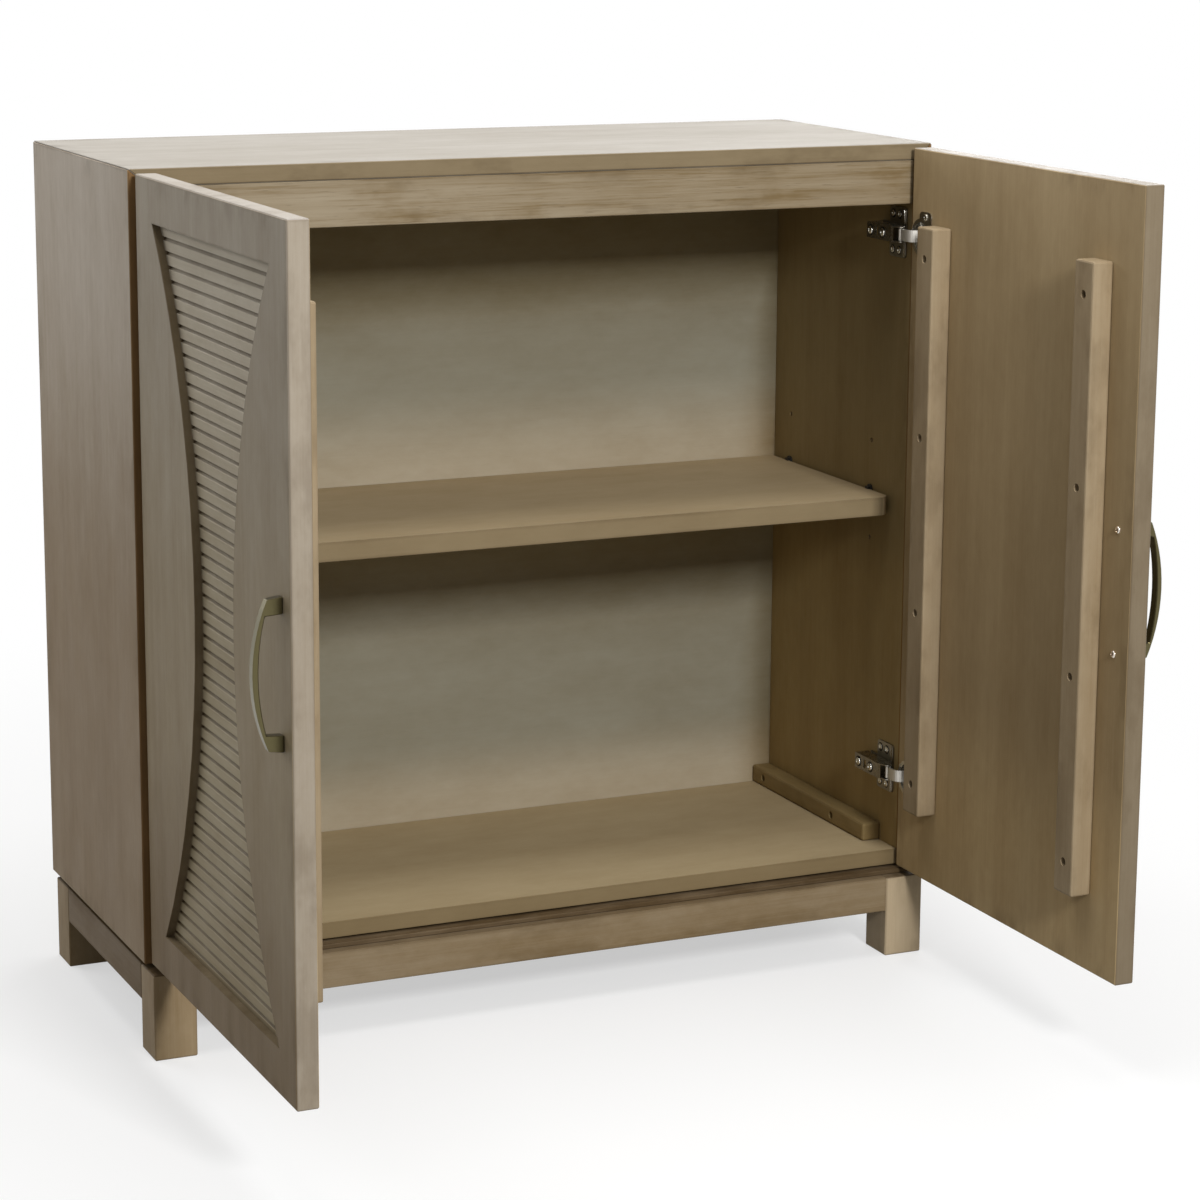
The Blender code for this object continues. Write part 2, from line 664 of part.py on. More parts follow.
def build_door(bench, side):
    """One door with its slatted panel, battens, pull and hinge cups, hung on the cup pins' axis."""
    sign = SIDES[side]
    axis = place(side, CUP_PIVOT.x, CUP_PIVOT.y, -BASE_HEIGHT)
    bench.hang_from(f"cup_pin_axis_{side}", axis, sign * OPEN_ANGLE)

    def at(u, v, z):
        return door_point(side, u, v, z)

    slab = box(bench, f"door_{side}", at(0, -DOOR_THICKNESS, DOOR_LIFT),
               at(DOOR_WIDTH, 0, DOOR_LIFT + DOOR_HEIGHT), "taupe_wood", EDGE_ROUND)
    face = at(0, -DOOR_THICKNESS, 0).y
    recess = plate(bench, f"recess_{side}", [hourglass(side)], "xz", (0, face, 0), 2 * RECESS_DEPTH)
    cut(slab, recess)
    for z in HINGE_HEIGHTS.values():
        bore = cylinder(bench, f"cup_bore_{side}", at(CUP_FROM_EDGE, 0, z), "y",
                        CUP_BORE_RADIUS, 2 * (CUP_DEPTH + GAP), segments=32)
        cut(slab, bore)

    slats_loop = [(face + depth, BASE_HEIGHT + z) for depth, z in slat_profile()]
    centre_x = at(RECESS_FROM_EDGE, 0, 0).x
    slats = plate(bench, f"reeded_panel_{side}", [slats_loop], "yz", (centre_x, 0, 0),
                  2 * (RECESS_HALF_WIDTH + PANEL_MARGIN), "reeded_wood")
    trim = plate(bench, f"panel_outline_{side}", [hourglass(side, GAP)], "xz", (0, face, 0),
                 4 * RECESS_DEPTH)
    boolean(slats, trim, "INTERSECT")

    for edge, where in zip(BATTEN_EDGES, ("hinge", "meeting")):
        door_batten(bench, side, edge, f"batten_{where}_{side}", at)
    build_pull(bench, side, at)
    for level, z in HINGE_HEIGHTS.items():
        hinge_cup(bench, side, level, z, at)
    bench.parent = None


def door_batten(bench, side, edge, name, at):
    """Upright batten on the door's inner face, with four screw recesses."""
    high = BATTEN_BOTTOM + BATTEN_HEIGHT
    batten = box(bench, name, at(edge, GAP, BATTEN_BOTTOM),
                 at(edge + BATTEN_WIDTH, BATTEN_THICKNESS, high), "taupe_wood", BATTEN_ROUND, 2)
    for step in (-1.5, -0.5, 0.5, 1.5):
        z = BATTEN_BOTTOM + BATTEN_HEIGHT / 2 + step * BATTEN_HOLE_PITCH
        hole = cylinder(bench, f"counterbore_{side}", at(edge + BATTEN_WIDTH / 2, BATTEN_THICKNESS, z),
                        "y", COUNTERBORE_RADIUS, 2 * COUNTERBORE_DEPTH)
        cut(batten, hole)


def build_pull(bench, side, at):
    """Bow pull: two tapered feet and a bow between two arcs, thickest at the middle."""
    half = PULL_CENTRES / 2
    inner, outer = half - PULL_FOOT_HEIGHT / 2, half + PULL_FOOT_HEIGHT / 2
    bow_inner = PULL_REACH - PULL_BOW_THICKNESS
    tip = PULL_FOOT_REACH
    start = tip + PULL_SHOULDER
    end = outer - PULL_SHOULDER
    throat = inner - PULL_SHOULDER / 2
    outer_arc = chord_arc((tip, -end), (tip, end), tip - PULL_REACH, 14)
    inner_arc = chord_arc((start, throat), (start, -throat), bow_inner - start, 12)
    outline = [(GAP, -inner), (GAP, -outer), *outer_arc, (GAP, outer), (GAP, inner), *inner_arc]
    face = at(0, -DOOR_THICKNESS, 0).y
    level = BASE_HEIGHT + PULL_HEIGHT
    loop = [(face - out, level + z) for out, z in outline]
    centre = at(DOOR_WIDTH - PULL_FROM_EDGE, 0, 0).x
    plate(bench, f"pull_{side}", [loop], "yz", (centre, 0, 0), PULL_WIDTH, "aged_brass", PULL_ROUND)


def hinge_cup(bench, side, level, z, at):
    """Cup pressed into the door, with an eared flange and the pin that the link turns on."""
    name = f"hinge_cup_{side}_{level}"
    centre = at(CUP_FROM_EDGE, 0, z)
    away = -SIDES[side]
    shift = EAR_FROM_EDGE - CUP_FROM_EDGE
    near, far = shift - EAR_HALF_WIDTH + EAR_CORNER, shift + EAR_HALF_WIDTH - EAR_CORNER
    corner_z = FLANGE_HALF_HEIGHT - EAR_CORNER
    outline = arc((far, -corner_z), EAR_CORNER, -pi / 2, 0, 4)
    outline += arc((far, corner_z), EAR_CORNER, 0, pi / 2, 4)
    outline += arc((near, corner_z), EAR_CORNER, pi / 2, pi, 4)
    lean = acos((near - EAR_CORNER) / FLANGE_RADIUS)
    outline += arc((0, 0), FLANGE_RADIUS, lean, 2 * pi - lean, 20)
    outline += arc((near, -corner_z), EAR_CORNER, pi, 3 * pi / 2, 4)
    flange_centre = centre + Vector((0, GAP + FLANGE_THICKNESS / 2, 0))
    loop = [(away * u, v) for u, v in outline]
    cup = plate(bench, name, [loop], "xz", flange_centre, FLANGE_THICKNESS, "pale_steel")
    bowl_height = CUP_DEPTH + GAP + FLANGE_THICKNESS / 2
    bowl = cylinder(bench, name + "_bowl", centre + Vector((0, bowl_height / 2 - CUP_DEPTH, 0)), "y",
                    CUP_RADIUS, bowl_height, segments=32)
    join(cup, bowl)
    well_height = CUP_DEPTH - CUP_FLOOR + OVERCUT
    well_middle = centre + Vector((0, well_height / 2 - CUP_DEPTH + CUP_FLOOR, 0))
    well = cylinder(bench, name + "_well", well_middle, "y", CUP_INNER_RADIUS, well_height, segments=32)
    cut(cup, well)
    pin_offset = CUP_FROM_EDGE - PIN_FROM_EDGE
    pin_half = sqrt(CUP_INNER_RADIUS ** 2 - pin_offset ** 2) + 0.4 * MM
    pin = cylinder(bench, name + "_pin", at(PIN_FROM_EDGE, -PIN_BELOW_FACE, z), "z", PIN_RADIUS,
                   2 * pin_half, segments=12)
    join(cup, pin)


def main():
    clear_scene()
    bench = Bench()
    build_case(bench)
    build_shelf(bench)
    build_cleats(bench)
    build_base(bench)
    build_hinge_fixed(bench)
    for side in SIDES:
        build_links(bench, side)
        build_door(bench, side)


main()
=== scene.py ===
"""Two-door chest: finishes, screws, hinge trim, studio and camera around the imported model."""

from math import cos, pi, radians, sin

import bmesh
import bpy
from bpy.props import FloatProperty, FloatVectorProperty, PointerProperty
from mathutils import Matrix, Vector


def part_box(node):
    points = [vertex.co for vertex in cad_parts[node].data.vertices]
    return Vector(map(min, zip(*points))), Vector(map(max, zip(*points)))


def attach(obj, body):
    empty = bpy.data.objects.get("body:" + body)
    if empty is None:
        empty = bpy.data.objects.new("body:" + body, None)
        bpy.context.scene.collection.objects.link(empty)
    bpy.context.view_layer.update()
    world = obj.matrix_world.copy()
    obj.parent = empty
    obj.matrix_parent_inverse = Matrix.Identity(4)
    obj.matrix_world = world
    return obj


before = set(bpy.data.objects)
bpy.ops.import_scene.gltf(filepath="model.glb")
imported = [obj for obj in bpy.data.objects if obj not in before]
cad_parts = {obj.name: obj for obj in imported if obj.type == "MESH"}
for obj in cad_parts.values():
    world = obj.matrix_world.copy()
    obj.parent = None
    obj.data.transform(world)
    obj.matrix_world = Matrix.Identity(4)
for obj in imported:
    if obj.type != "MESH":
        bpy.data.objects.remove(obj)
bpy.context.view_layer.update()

bl_info = {
    "name": "Two-door chest",
    "version": (1, 0, 0),
    "blender": (4, 5, 0),
    "location": "3D View > Sidebar > Chest",
    "description": "Finishes a two-door chest and sets up a studio for it",
    "category": "Object",
}

MM = 0.001
SIDES = {"left": -1, "right": 1}
LEVELS = {"lower": 111 * MM, "upper": 725 * MM}

# The chest's own sizes, as its solids have them
CASE_WIDTH = 914 * MM
BASE_HEIGHT = 98 * MM
FRONT_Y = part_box("case_bottom")[0].y
DOOR_FACE_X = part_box("door_right")[1].x
DOOR_INNER_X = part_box("door_right")[0].x
DOOR_HINGE_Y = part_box("door_right")[1].y
INNER_SIDE_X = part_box("case_side_right")[0].x
PULL_CENTRES = 128 * MM
BATTEN_HOLES = [(413 + step * 196) * MM for step in (-1.5, -0.5, 0.5, 1.5)]
BATTEN_THICKNESS = 23.5 * MM
CLEAT_HOLES_Y = (117 * MM, 291 * MM)
COUNTERBORE_DEPTH = 11 * MM
PLATE_FACE = 24.3 * MM
ARM_FACE = 42 * MM
RECESS_FROM_EDGE = 230.5 * MM
RECESS_BOTTOM = 48.5 * MM
RECESS_HEIGHT = 728.5 * MM
RECESS_HALF_WIDTH = 177 * MM
RECESS_HALF_WAIST = 60 * MM
SLAT_FACE_DEPTH = 8 * MM

# Screws of the hinges: how far back or in each one is, and for the arm screws also the turn of the cross
ARM_SCREWS = ((31 * MM, 0.3), (58.5 * MM, 1.1))
PLATE_SCREWS_Y = (24.5 * MM, 39 * MM)
PLATE_SCREWS_Z = (-20 * MM, 20 * MM)
CUP_SCREWS_U = 31 * MM
CUP_SCREWS_Z = (-22.5 * MM, 22.5 * MM)
CUP_FLANGE = 1.3 * MM

# Folded lips of the hinge plates
PLATE_LIP = (2.6 * MM, 1.2 * MM, 15 * MM)
PLATE_LIP_OUT = PLATE_FACE + 0.7 * MM
PLATE_LIP_Y = 11.6 * MM
PLATE_LIPS_Z = (-18 * MM, 18 * MM)
PLATE_LIP_BEVEL = 0.45 * MM

# Edges that turn by more than this stay sharp
SHARP_ANGLE = radians(38)

# Height of each kind of screw head, and how much of that height is dome
ARM_HEAD = (2.2 * MM, 0.7)
PLATE_HEAD = (1.2 * MM, 0.5)
SUNK_HEAD = (1.6 * MM, 0.6)
PULL_HEAD = (2.4 * MM, 0.75)
HEAD_SEGMENTS = 28

# The cross cut into a head: its length at the bottom and at the top and its width, as shares of the head's radius,
# and the levels of its bottom and top, as shares of the head's height
CROSS_LENGTH = (0.63, 1.15)
CROSS_WIDTH = 0.26
CROSS_LEVEL = (0.42, 1.4)

# Inner and outer radius of the dark ring of painted shade round a screw head, as shares of the head's radius, and the
# ring's height
ARM_SHADE_RING = (0.9, 1.4, 0.3 * MM)
PLATE_SHADE_RING = (0.9, 1.35, 0.25 * MM)

# Tones that are not among the settings
# Near black of the rings of painted shade round the hinge screws
SHADE_RING_TONE = (0.035, 0.031, 0.026)
ZINC_YELLOW = (0.72, 0.55, 0.30)
ZINC_GREEN = (0.62, 0.66, 0.62)
ZINC_PINK = (0.66, 0.48, 0.52)
WORN_PLASTIC = (0.05, 0.048, 0.045)

X, Y, Z = 0, 1, 2


def both(stem, *row):
    """The same row for the left and the right piece."""
    return {f"{stem}_{side}": row for side in SIDES}


# Grain direction of each wooden piece, how brown the wash dried on it (0 pale, 1 darkest), and its tint
WOOD = {
    **both("case_side", Z, 0.41, (0.82, 0.74, 0.64)),
    # The top's pale, bluish tint is partly the wash and partly painted sheen of the white surroundings
    "case_top": (X, 0.10, (0.90, 1.00, 1.21)),
    "top_front_rail": (X, 0.83, (0.99, 1.03, 1.05)),
    # The reveal board's dark wash is partly painted shade of the gap it lies back in
    "reveal_board": (X, 0.94, (1.01, 1.02, 1.06)),
    "leg_front_left": (Z, 0.73, (1.14, 1.09, 0.99)),
    "leg_front_right": (Z, 0.20, (1.23, 1.17, 1.06)),
    **both("leg_back", Z, 0.75, (1.14, 1.10, 0.99)),
    "base_rail_front": (X, 0.79, (1.06, 1.07, 1.07)),
    "base_rail_back": (X, 0.79, (1.06, 1.07, 1.07)),
    **both("base_rail", Y, 0.79, (0.56, 0.50, 0.39)),
    **both("door", Z, 0.37, (0.89, 0.87, 0.78)),
    **both("reeded_panel", Y, 0.25, (1.03, 1.05, 0.97)),
    **both("batten_hinge", Z, 0.59, (1.02, 0.99, 0.92)),
    **both("batten_meeting", Z, 0.59, (1.02, 0.99, 0.92)),
    "case_bottom": (X, 0.36, (1.08, 1.04, 0.87)),
    # The back's bluish tint is partly painted cool light falling on it from the front
    "case_back": (X, 0.60, (0.82, 0.97, 1.10)),
    "shelf": (X, 0.32, (1.16, 1.10, 0.93)),
    **both("floor_cleat", Y, 0.73, (0.91, 0.86, 0.60)),
}
OPEN_GRAIN = ("top_front_rail", "reveal_board")
SMOOTH = ("case_bottom", "case_back", "shelf")

# Tints of single faces, or of parts of them, on top of their piece's own tint
FACE_TINTS = {
    "door_inside": (1.08, 1.01, 0.89),
    # Painted light: the inner face of a door paler towards its foot
    "door_inside_painted_light": (1.36, 1.36, 1.32),
    # Painted sheen: the outer face of a door paler, greyer and bluer high up
    "door_outside_painted_sheen": (1.12, 1.20, 1.45),
    # Painted shade: the outer face of a door darker and browner low down
    "door_outside_painted_shade": (0.60, 0.53, 0.44),
    "door_top": (1.25, 1.42, 1.95),
    "left_door_edge": (1.08, 1.16, 1.44),
    "right_door_edge": (0.68, 0.68, 0.72),
    "side_front": (0.80, 0.63, 0.43),
    "side_inside": (0.86, 0.875, 0.68),
    # Painted light: the inner face of a case side paler in the lower compartment
    "side_inside_painted_light": (1.35, 1.31, 1.22),
    # Painted sheen: the outer face of a case side paler, greyer and bluer high up
    "side_outside_painted_sheen": (1.74, 2.05, 2.75),
    # Painted sheen: the slats paler, greyer and bluer high up
    "slats_painted_sheen": (1.30, 1.36, 1.58),
    # Painted shade: the slats darker low down
    "slats_painted_shade": (0.86, 0.84, 0.80),
    "top_ends": (0.55, 0.455, 0.30),
    # Painted bounce light: the back paler low down in both compartments
    "painted_bounce_light": (1.55, 1.43, 1.38),
    # Painted light: the back paler high up in both compartments, where the top and the shelf shade it
    "painted_light_under_boards": (1.45, 1.40, 1.25),
    "back_rear": (1.20, 1.02, 0.82),
    "shelf_front": (0.54, 0.53, 0.50),
    "bottom_front": (0.55, 0.52, 0.465),
}

# Heights from the floor at which such a tint starts and at which it is full
# Painted sheen grows over these heights on the outer faces of doors and sides and on the slats
PAINTED_SHEEN_HIGH = (0.42, 0.88)
# Painted shade grows over these heights at the foot of the doors' outer faces
DOOR_PAINTED_SHADE_LOW = (0.40, 0.12)
# Painted light grows over these heights at the foot of the doors' inner faces and low on the sides' inner faces
DOOR_INSIDE_PAINTED_LIGHT = (0.36, 0.18)
SIDE_INSIDE_PAINTED_LIGHT = (0.50, 0.40)
# Painted shade grows over these heights at the foot of the slats
SLATS_PAINTED_SHADE_LOW = (0.42, 0.14)

# The same for the painted shade and painted light on the back, and for the painted shade at the foot of the doors and
# sides
BELOW_TOP_SHADE = (0.62, 0.82)
BELOW_SHELF_SHADE = (0.26, 0.46)
# Painted light on the back grows over these heights under the top and under the shelf
UNDER_TOP = (0.70, 0.80)
UNDER_SHELF = (0.36, 0.44)
# Painted bounce light on the back grows over these heights above the shelf and the floor
ABOVE_SHELF = (0.64, 0.53)
ABOVE_FLOOR = (0.22, 0.13)
SHELF_UNDERSIDE, SHELF_MIDDLE = 0.50, 0.505
CORNER_SHADE_WIDTH = 55 * MM
PAINTED_SHADE_FOOT = (0.15, 0.85)
PAINTED_SHADE_FOOT_STRENGTH = 0.12

# Depth over which the tint of one face ends, and how far back that of a case side's front edge reaches
HAIR = 0.4 * MM
SIDE_FRONT_BAND = 1.4 * MM

# Strength of the deep glaze and painted shade on the upward faces of the base, and of the glaze in the joint above it
BASE_RAIL_GLAZE_AND_SHADE = 0.45
LEG_GLAZE_AND_SHADE = 0.80
BASE_JOINT_GLAZE = 0.8
BASE_JOINT_GLAZE_WIDTH = 2.2 * MM

# Noise in the wood: features in a metre along and across the grain, detail, roughness and distortion
BAND = (0.7, 11, 2, 0.5)
STREAK = (1.3, 42, 5, 0.62, 0.4)
FINE = (9, 520, 4, 0.7)
CLOUD = (3, 6, 3)
MOTTLE = (11, 26, 4, 0.6)
WISP = (7, 230, 5, 0.68, 0.3)
PATCH = (9, 24, 4, 0.6)
SPECK = (45, 90, 4, 0.65)
PORE = (38, 900, 2)
DASH = (22, 330, 2)

# How strongly the grain shows, and how much rougher than the rest the top is
FIGURE = 0.75
OPEN_FIGURE = 1.1
SMOOTH_FIGURE = 0.2
TOP_DULLNESS = 0.13

# Place, target, width and height of each soft box, and the share of the rim light's power that the right one has
KEY_BOX = ((0.05, -3.3, 2.05), (0, 0, 0.45), 0.7, 0.6)
OVERHEAD_BOX = ((0, 0.1, 3.0), (0, 0.1, 0.4), 2.2, 1.8)
RIM_BOX = ((-1.7, 2.1, 1.5), (-0.45, 0.0, 0.75), 1.2, 1.0)
RIGHT_RIM_BOX = ((1.9, 2.2, 1.3), (0.45, 0.0, 0.7), 1.2, 1.0)
RIGHT_RIM_SHARE = 0.8

# How white the floor is round the chest, and the distances between which it grows plain white
FLOOR_WHITENESS = 0.55
FLOOR_FADE = (0.7, 2.0)

# The camera's place, its turns in radians, and its shift as a share of the picture's width
CAMERA_PLACE = (-1.3928, -3.1467, 1.2263)
CAMERA_YAW = 0.4261
CAMERA_PITCH = 0.2017
CAMERA_ROLL = 0.0067
CAMERA_SHIFT = -0.05
SENSOR_WIDTH = 36


def colour_property(name, description, default):
    """A colour among the settings."""
    return FloatVectorProperty(name=name, description=description, subtype="COLOR", size=3, min=0, max=1,
                               default=default)


class ChestWood(bpy.types.PropertyGroup):
    pale: colour_property("Pale wash", "Palest tone of the washed wood", (0.50, 0.42, 0.31))
    brown: colour_property("Brown wash", "Darkest tone of the washed wood", (0.20, 0.135, 0.065))
    # The glaze colour also carries painted shade in the door recesses, the grooves, the reveal and on the base
    glaze: colour_property("Glaze", "Deep brown left by the wash in corners and joints", (0.060, 0.036, 0.015))
    roughness: FloatProperty(name="Roughness", description="Of the satin topcoat", default=0.52, min=0, max=1)
    gloss: FloatProperty(name="Gloss", description="Refractive index of the thin topcoat", default=1.2, min=1)
    relief: FloatProperty(name="Relief", description="Depth of the grain", default=0.00012, min=0, unit="LENGTH")
    glaze_width: FloatProperty(name="Glaze width", description="How far the glaze reaches in from an edge",
                               default=0.004, min=0.0005, unit="LENGTH")


class ChestMetal(bpy.types.PropertyGroup):
    arm: colour_property("Hinge arms", "Nickel plate of plates and arms", (0.30, 0.28, 0.24))
    link: colour_property("Links and cups", "Paler nickel plate", (0.62, 0.60, 0.55))
    brass: colour_property("Pulls", "Aged brass", (0.125, 0.108, 0.053))
    zinc: colour_property("Screws", "Bright zinc plate", (0.70, 0.68, 0.62))
    plastic: colour_property("Shelf clips", "Black nylon", (0.012, 0.011, 0.010))
    arm_screw: FloatProperty(name="Arm screw", description="Head radius", default=0.0045, unit="LENGTH")
    plate_screw: FloatProperty(name="Plate screw", description="Head radius", default=0.0038, unit="LENGTH")
    batten_screw: FloatProperty(name="Batten screw", description="Head radius", default=0.0038, unit="LENGTH")
    pull_screw: FloatProperty(name="Pull screw", description="Head radius", default=0.0040, unit="LENGTH")


class ChestStudio(bpy.types.PropertyGroup):
    key: FloatProperty(name="Key light", description="Power of the soft box in front", default=99, unit="POWER")
    overhead: FloatProperty(name="Overhead light", description="Power of the soft box above", default=45, unit="POWER")
    rim: FloatProperty(name="Rim light", description="Power of the soft boxes behind the chest", default=17,
                       unit="POWER")
    ambient: FloatProperty(name="Ambient", description="Strength of the white surroundings", default=0.31, min=0)
    floor: colour_property("Floor", "Pale studio floor", (0.92, 0.92, 0.915))
    bounce: colour_property("Floor bounce", "What the floor sends back up", (0.18, 0.18, 0.175))
    floor_radius: FloatProperty(name="Floor radius", description="Size of the floor", default=9.0, unit="LENGTH")
    focal_length: FloatProperty(name="Focal length", description="In millimetres, on a 36 mm wide sensor",
                                default=99.87, min=10)


def set_up(name):
    """The settings of one part of the chest."""
    return getattr(bpy.context.scene, name)


# Shader nodes

class Value:
    """A number in a shader; arithmetic on it adds Math nodes."""

    def __init__(self, recipe, socket):
        self.recipe = recipe
        self.socket = socket

    def __add__(self, other):
        return self.recipe.calc("ADD", self, other)

    def __sub__(self, other):
        return self.recipe.calc("SUBTRACT", self, other)

    def __rsub__(self, other):
        return self.recipe.calc("SUBTRACT", other, self)

    def __mul__(self, other):
        return self.recipe.calc("MULTIPLY", self, other)

    def __abs__(self):
        return self.recipe.calc("ABSOLUTE", self)

    __radd__ = __add__
    __rmul__ = __mul__


class Recipe:
    """A material under construction, or the world."""

    def __init__(self, name, world=False):
        self.material = bpy.data.worlds.new(name) if world else bpy.data.materials.new(name)
        self.material.use_nodes = True
        self.tree = self.material.node_tree
        self.shader = self.tree.nodes["Background" if world else "Principled BSDF"]

    def node(self, kind, settings=None, inputs=None, output=0):
        """Add a node: its settings first, then the values or links of its inputs."""
        made = self.tree.nodes.new(kind)
        for key, value in (settings or {}).items():
            setattr(made, key, value)
        for key, value in (inputs or {}).items():
            self.feed(made.inputs[key], value)
        return Value(self, made.outputs[output])

    def feed(self, socket, value):
        """Link a value to a socket, or set the socket to a constant."""
        if isinstance(value, Value):
            self.tree.links.new(value.socket, socket)
        else:
            socket.default_value = value

    def calc(self, operation, a, b=None, clamp=False):
        """One step of arithmetic."""
        inputs = {0: a} if b is None else {0: a, 1: b}
        return self.node("ShaderNodeMath", {"operation": operation, "use_clamp": clamp}, inputs)

    def clamp(self, value):
        """The value, kept between 0 and 1."""
        return self.calc("ADD", value, 0.0, clamp=True)

    def seen(self):
        """1 for what the camera, a reflection or glass looks at, 0 where light only bounces."""
        outputs = self.node("ShaderNodeLightPath").socket.node.outputs
        rays = [Value(self, outputs[f"Is {ray} Ray"]) for ray in ("Camera", "Glossy", "Transmission")]
        return self.clamp(sum(rays))

    def least(self, a, b):
        """The smaller of two values."""
        return self.calc("MINIMUM", a, b)

    def most(self, a, b):
        """The larger of two values."""
        return self.calc("MAXIMUM", a, b)

    def place(self, shift=(0, 0, 0)):
        """Position on the piece, in metres, moved by a constant so that no two pieces match."""
        coordinates = self.node("ShaderNodeTexCoord", output=3)
        return self.node("ShaderNodeVectorMath", {"operation": "ADD"}, {0: coordinates, 1: shift})

    def axes(self, vector):
        """The three parts of a vector."""
        made = self.node("ShaderNodeSeparateXYZ", None, {0: vector})
        return [Value(self, output) for output in made.socket.node.outputs]

    def noise(self, vector, scale, detail=3.0, roughness=0.55, distortion=0.0):
        """Noise about zero; scale is a number, or one for each axis."""
        if not isinstance(scale, (int, float)):
            vector = self.node("ShaderNodeMapping", None, {"Vector": vector, "Scale": scale})
            scale = 1.0
        made = self.node("ShaderNodeTexNoise", None, {
            "Vector": vector, "Scale": scale, "Detail": detail, "Roughness": roughness, "Distortion": distortion})
        return made - 0.5

    def grain(self, place, axis, along, across, *character):
        """Noise that is stretched along the grain."""
        scale = [across, across, across]
        scale[axis] = along
        return self.noise(place, scale, *character)

    def step(self, value, low, high):
        """0 at low and 1 at high, smooth in between and level beyond; low may be the larger of the two."""
        return self.node("ShaderNodeMapRange", {"interpolation_type": "SMOOTHSTEP"},
                         {"Value": value, "From Min": low, "From Max": high})

    def mix(self, factor, a, b, blend="MIX"):
        """Blend of two colours."""
        settings = {"data_type": "RGBA", "blend_type": blend, "clamp_factor": True}
        return self.node("ShaderNodeMix", settings, {0: factor, 6: opaque(a), 7: opaque(b)}, output=2)

    def surface(self, colour, roughness, height=None, relief=0.0, **constants):
        """Link the shader's colour, its roughness and, as bump, a height in units of the relief."""
        self.feed(self.shader.inputs["Base Color"], opaque(colour))
        self.feed(self.shader.inputs["Roughness"], roughness)
        if height is not None:
            bump = self.node("ShaderNodeBump", None, {"Height": height, "Strength": 1.0, "Distance": relief})
            self.feed(self.shader.inputs["Normal"], bump)
        for name, value in constants.items():
            self.shader.inputs[name.replace("_", " ")].default_value = value
        return self.material


def opaque(colour):
    """The colour as a colour socket takes it."""
    return colour if isinstance(colour, Value) else (*colour, 1)


# Wood

def box_edge(recipe, place, low, high):
    """Distance along the surface of a box to its nearest edge: the middle one of three."""
    x, y, z = [recipe.least(p - a, b - p) for p, a, b in zip(recipe.axes(place), low, high)]
    smallest = recipe.least(recipe.least(x, y), z)
    largest = recipe.most(recipe.most(x, y), z)
    return x + y + z - smallest - largest


def recess_edge(recipe, place):
    """Distance in from the outline of the hourglass recess, in the plane of the open door."""
    bow = RECESS_HALF_WIDTH - RECESS_HALF_WAIST
    radius = ((RECESS_HEIGHT / 2) ** 2 + bow ** 2) / (2 * bow)
    middle_y = DOOR_HINGE_Y - RECESS_FROM_EDGE
    middle_z = BASE_HEIGHT + RECESS_BOTTOM + RECESS_HEIGHT / 2
    _, y, z = recipe.axes(place)
    across = (radius + RECESS_HALF_WAIST) - abs(y - middle_y)
    up = z - middle_z
    sides = recipe.calc("SQRT", across * across + up * up) - radius
    ends = RECESS_HEIGHT / 2 - abs(up)
    return recipe.least(sides, ends)


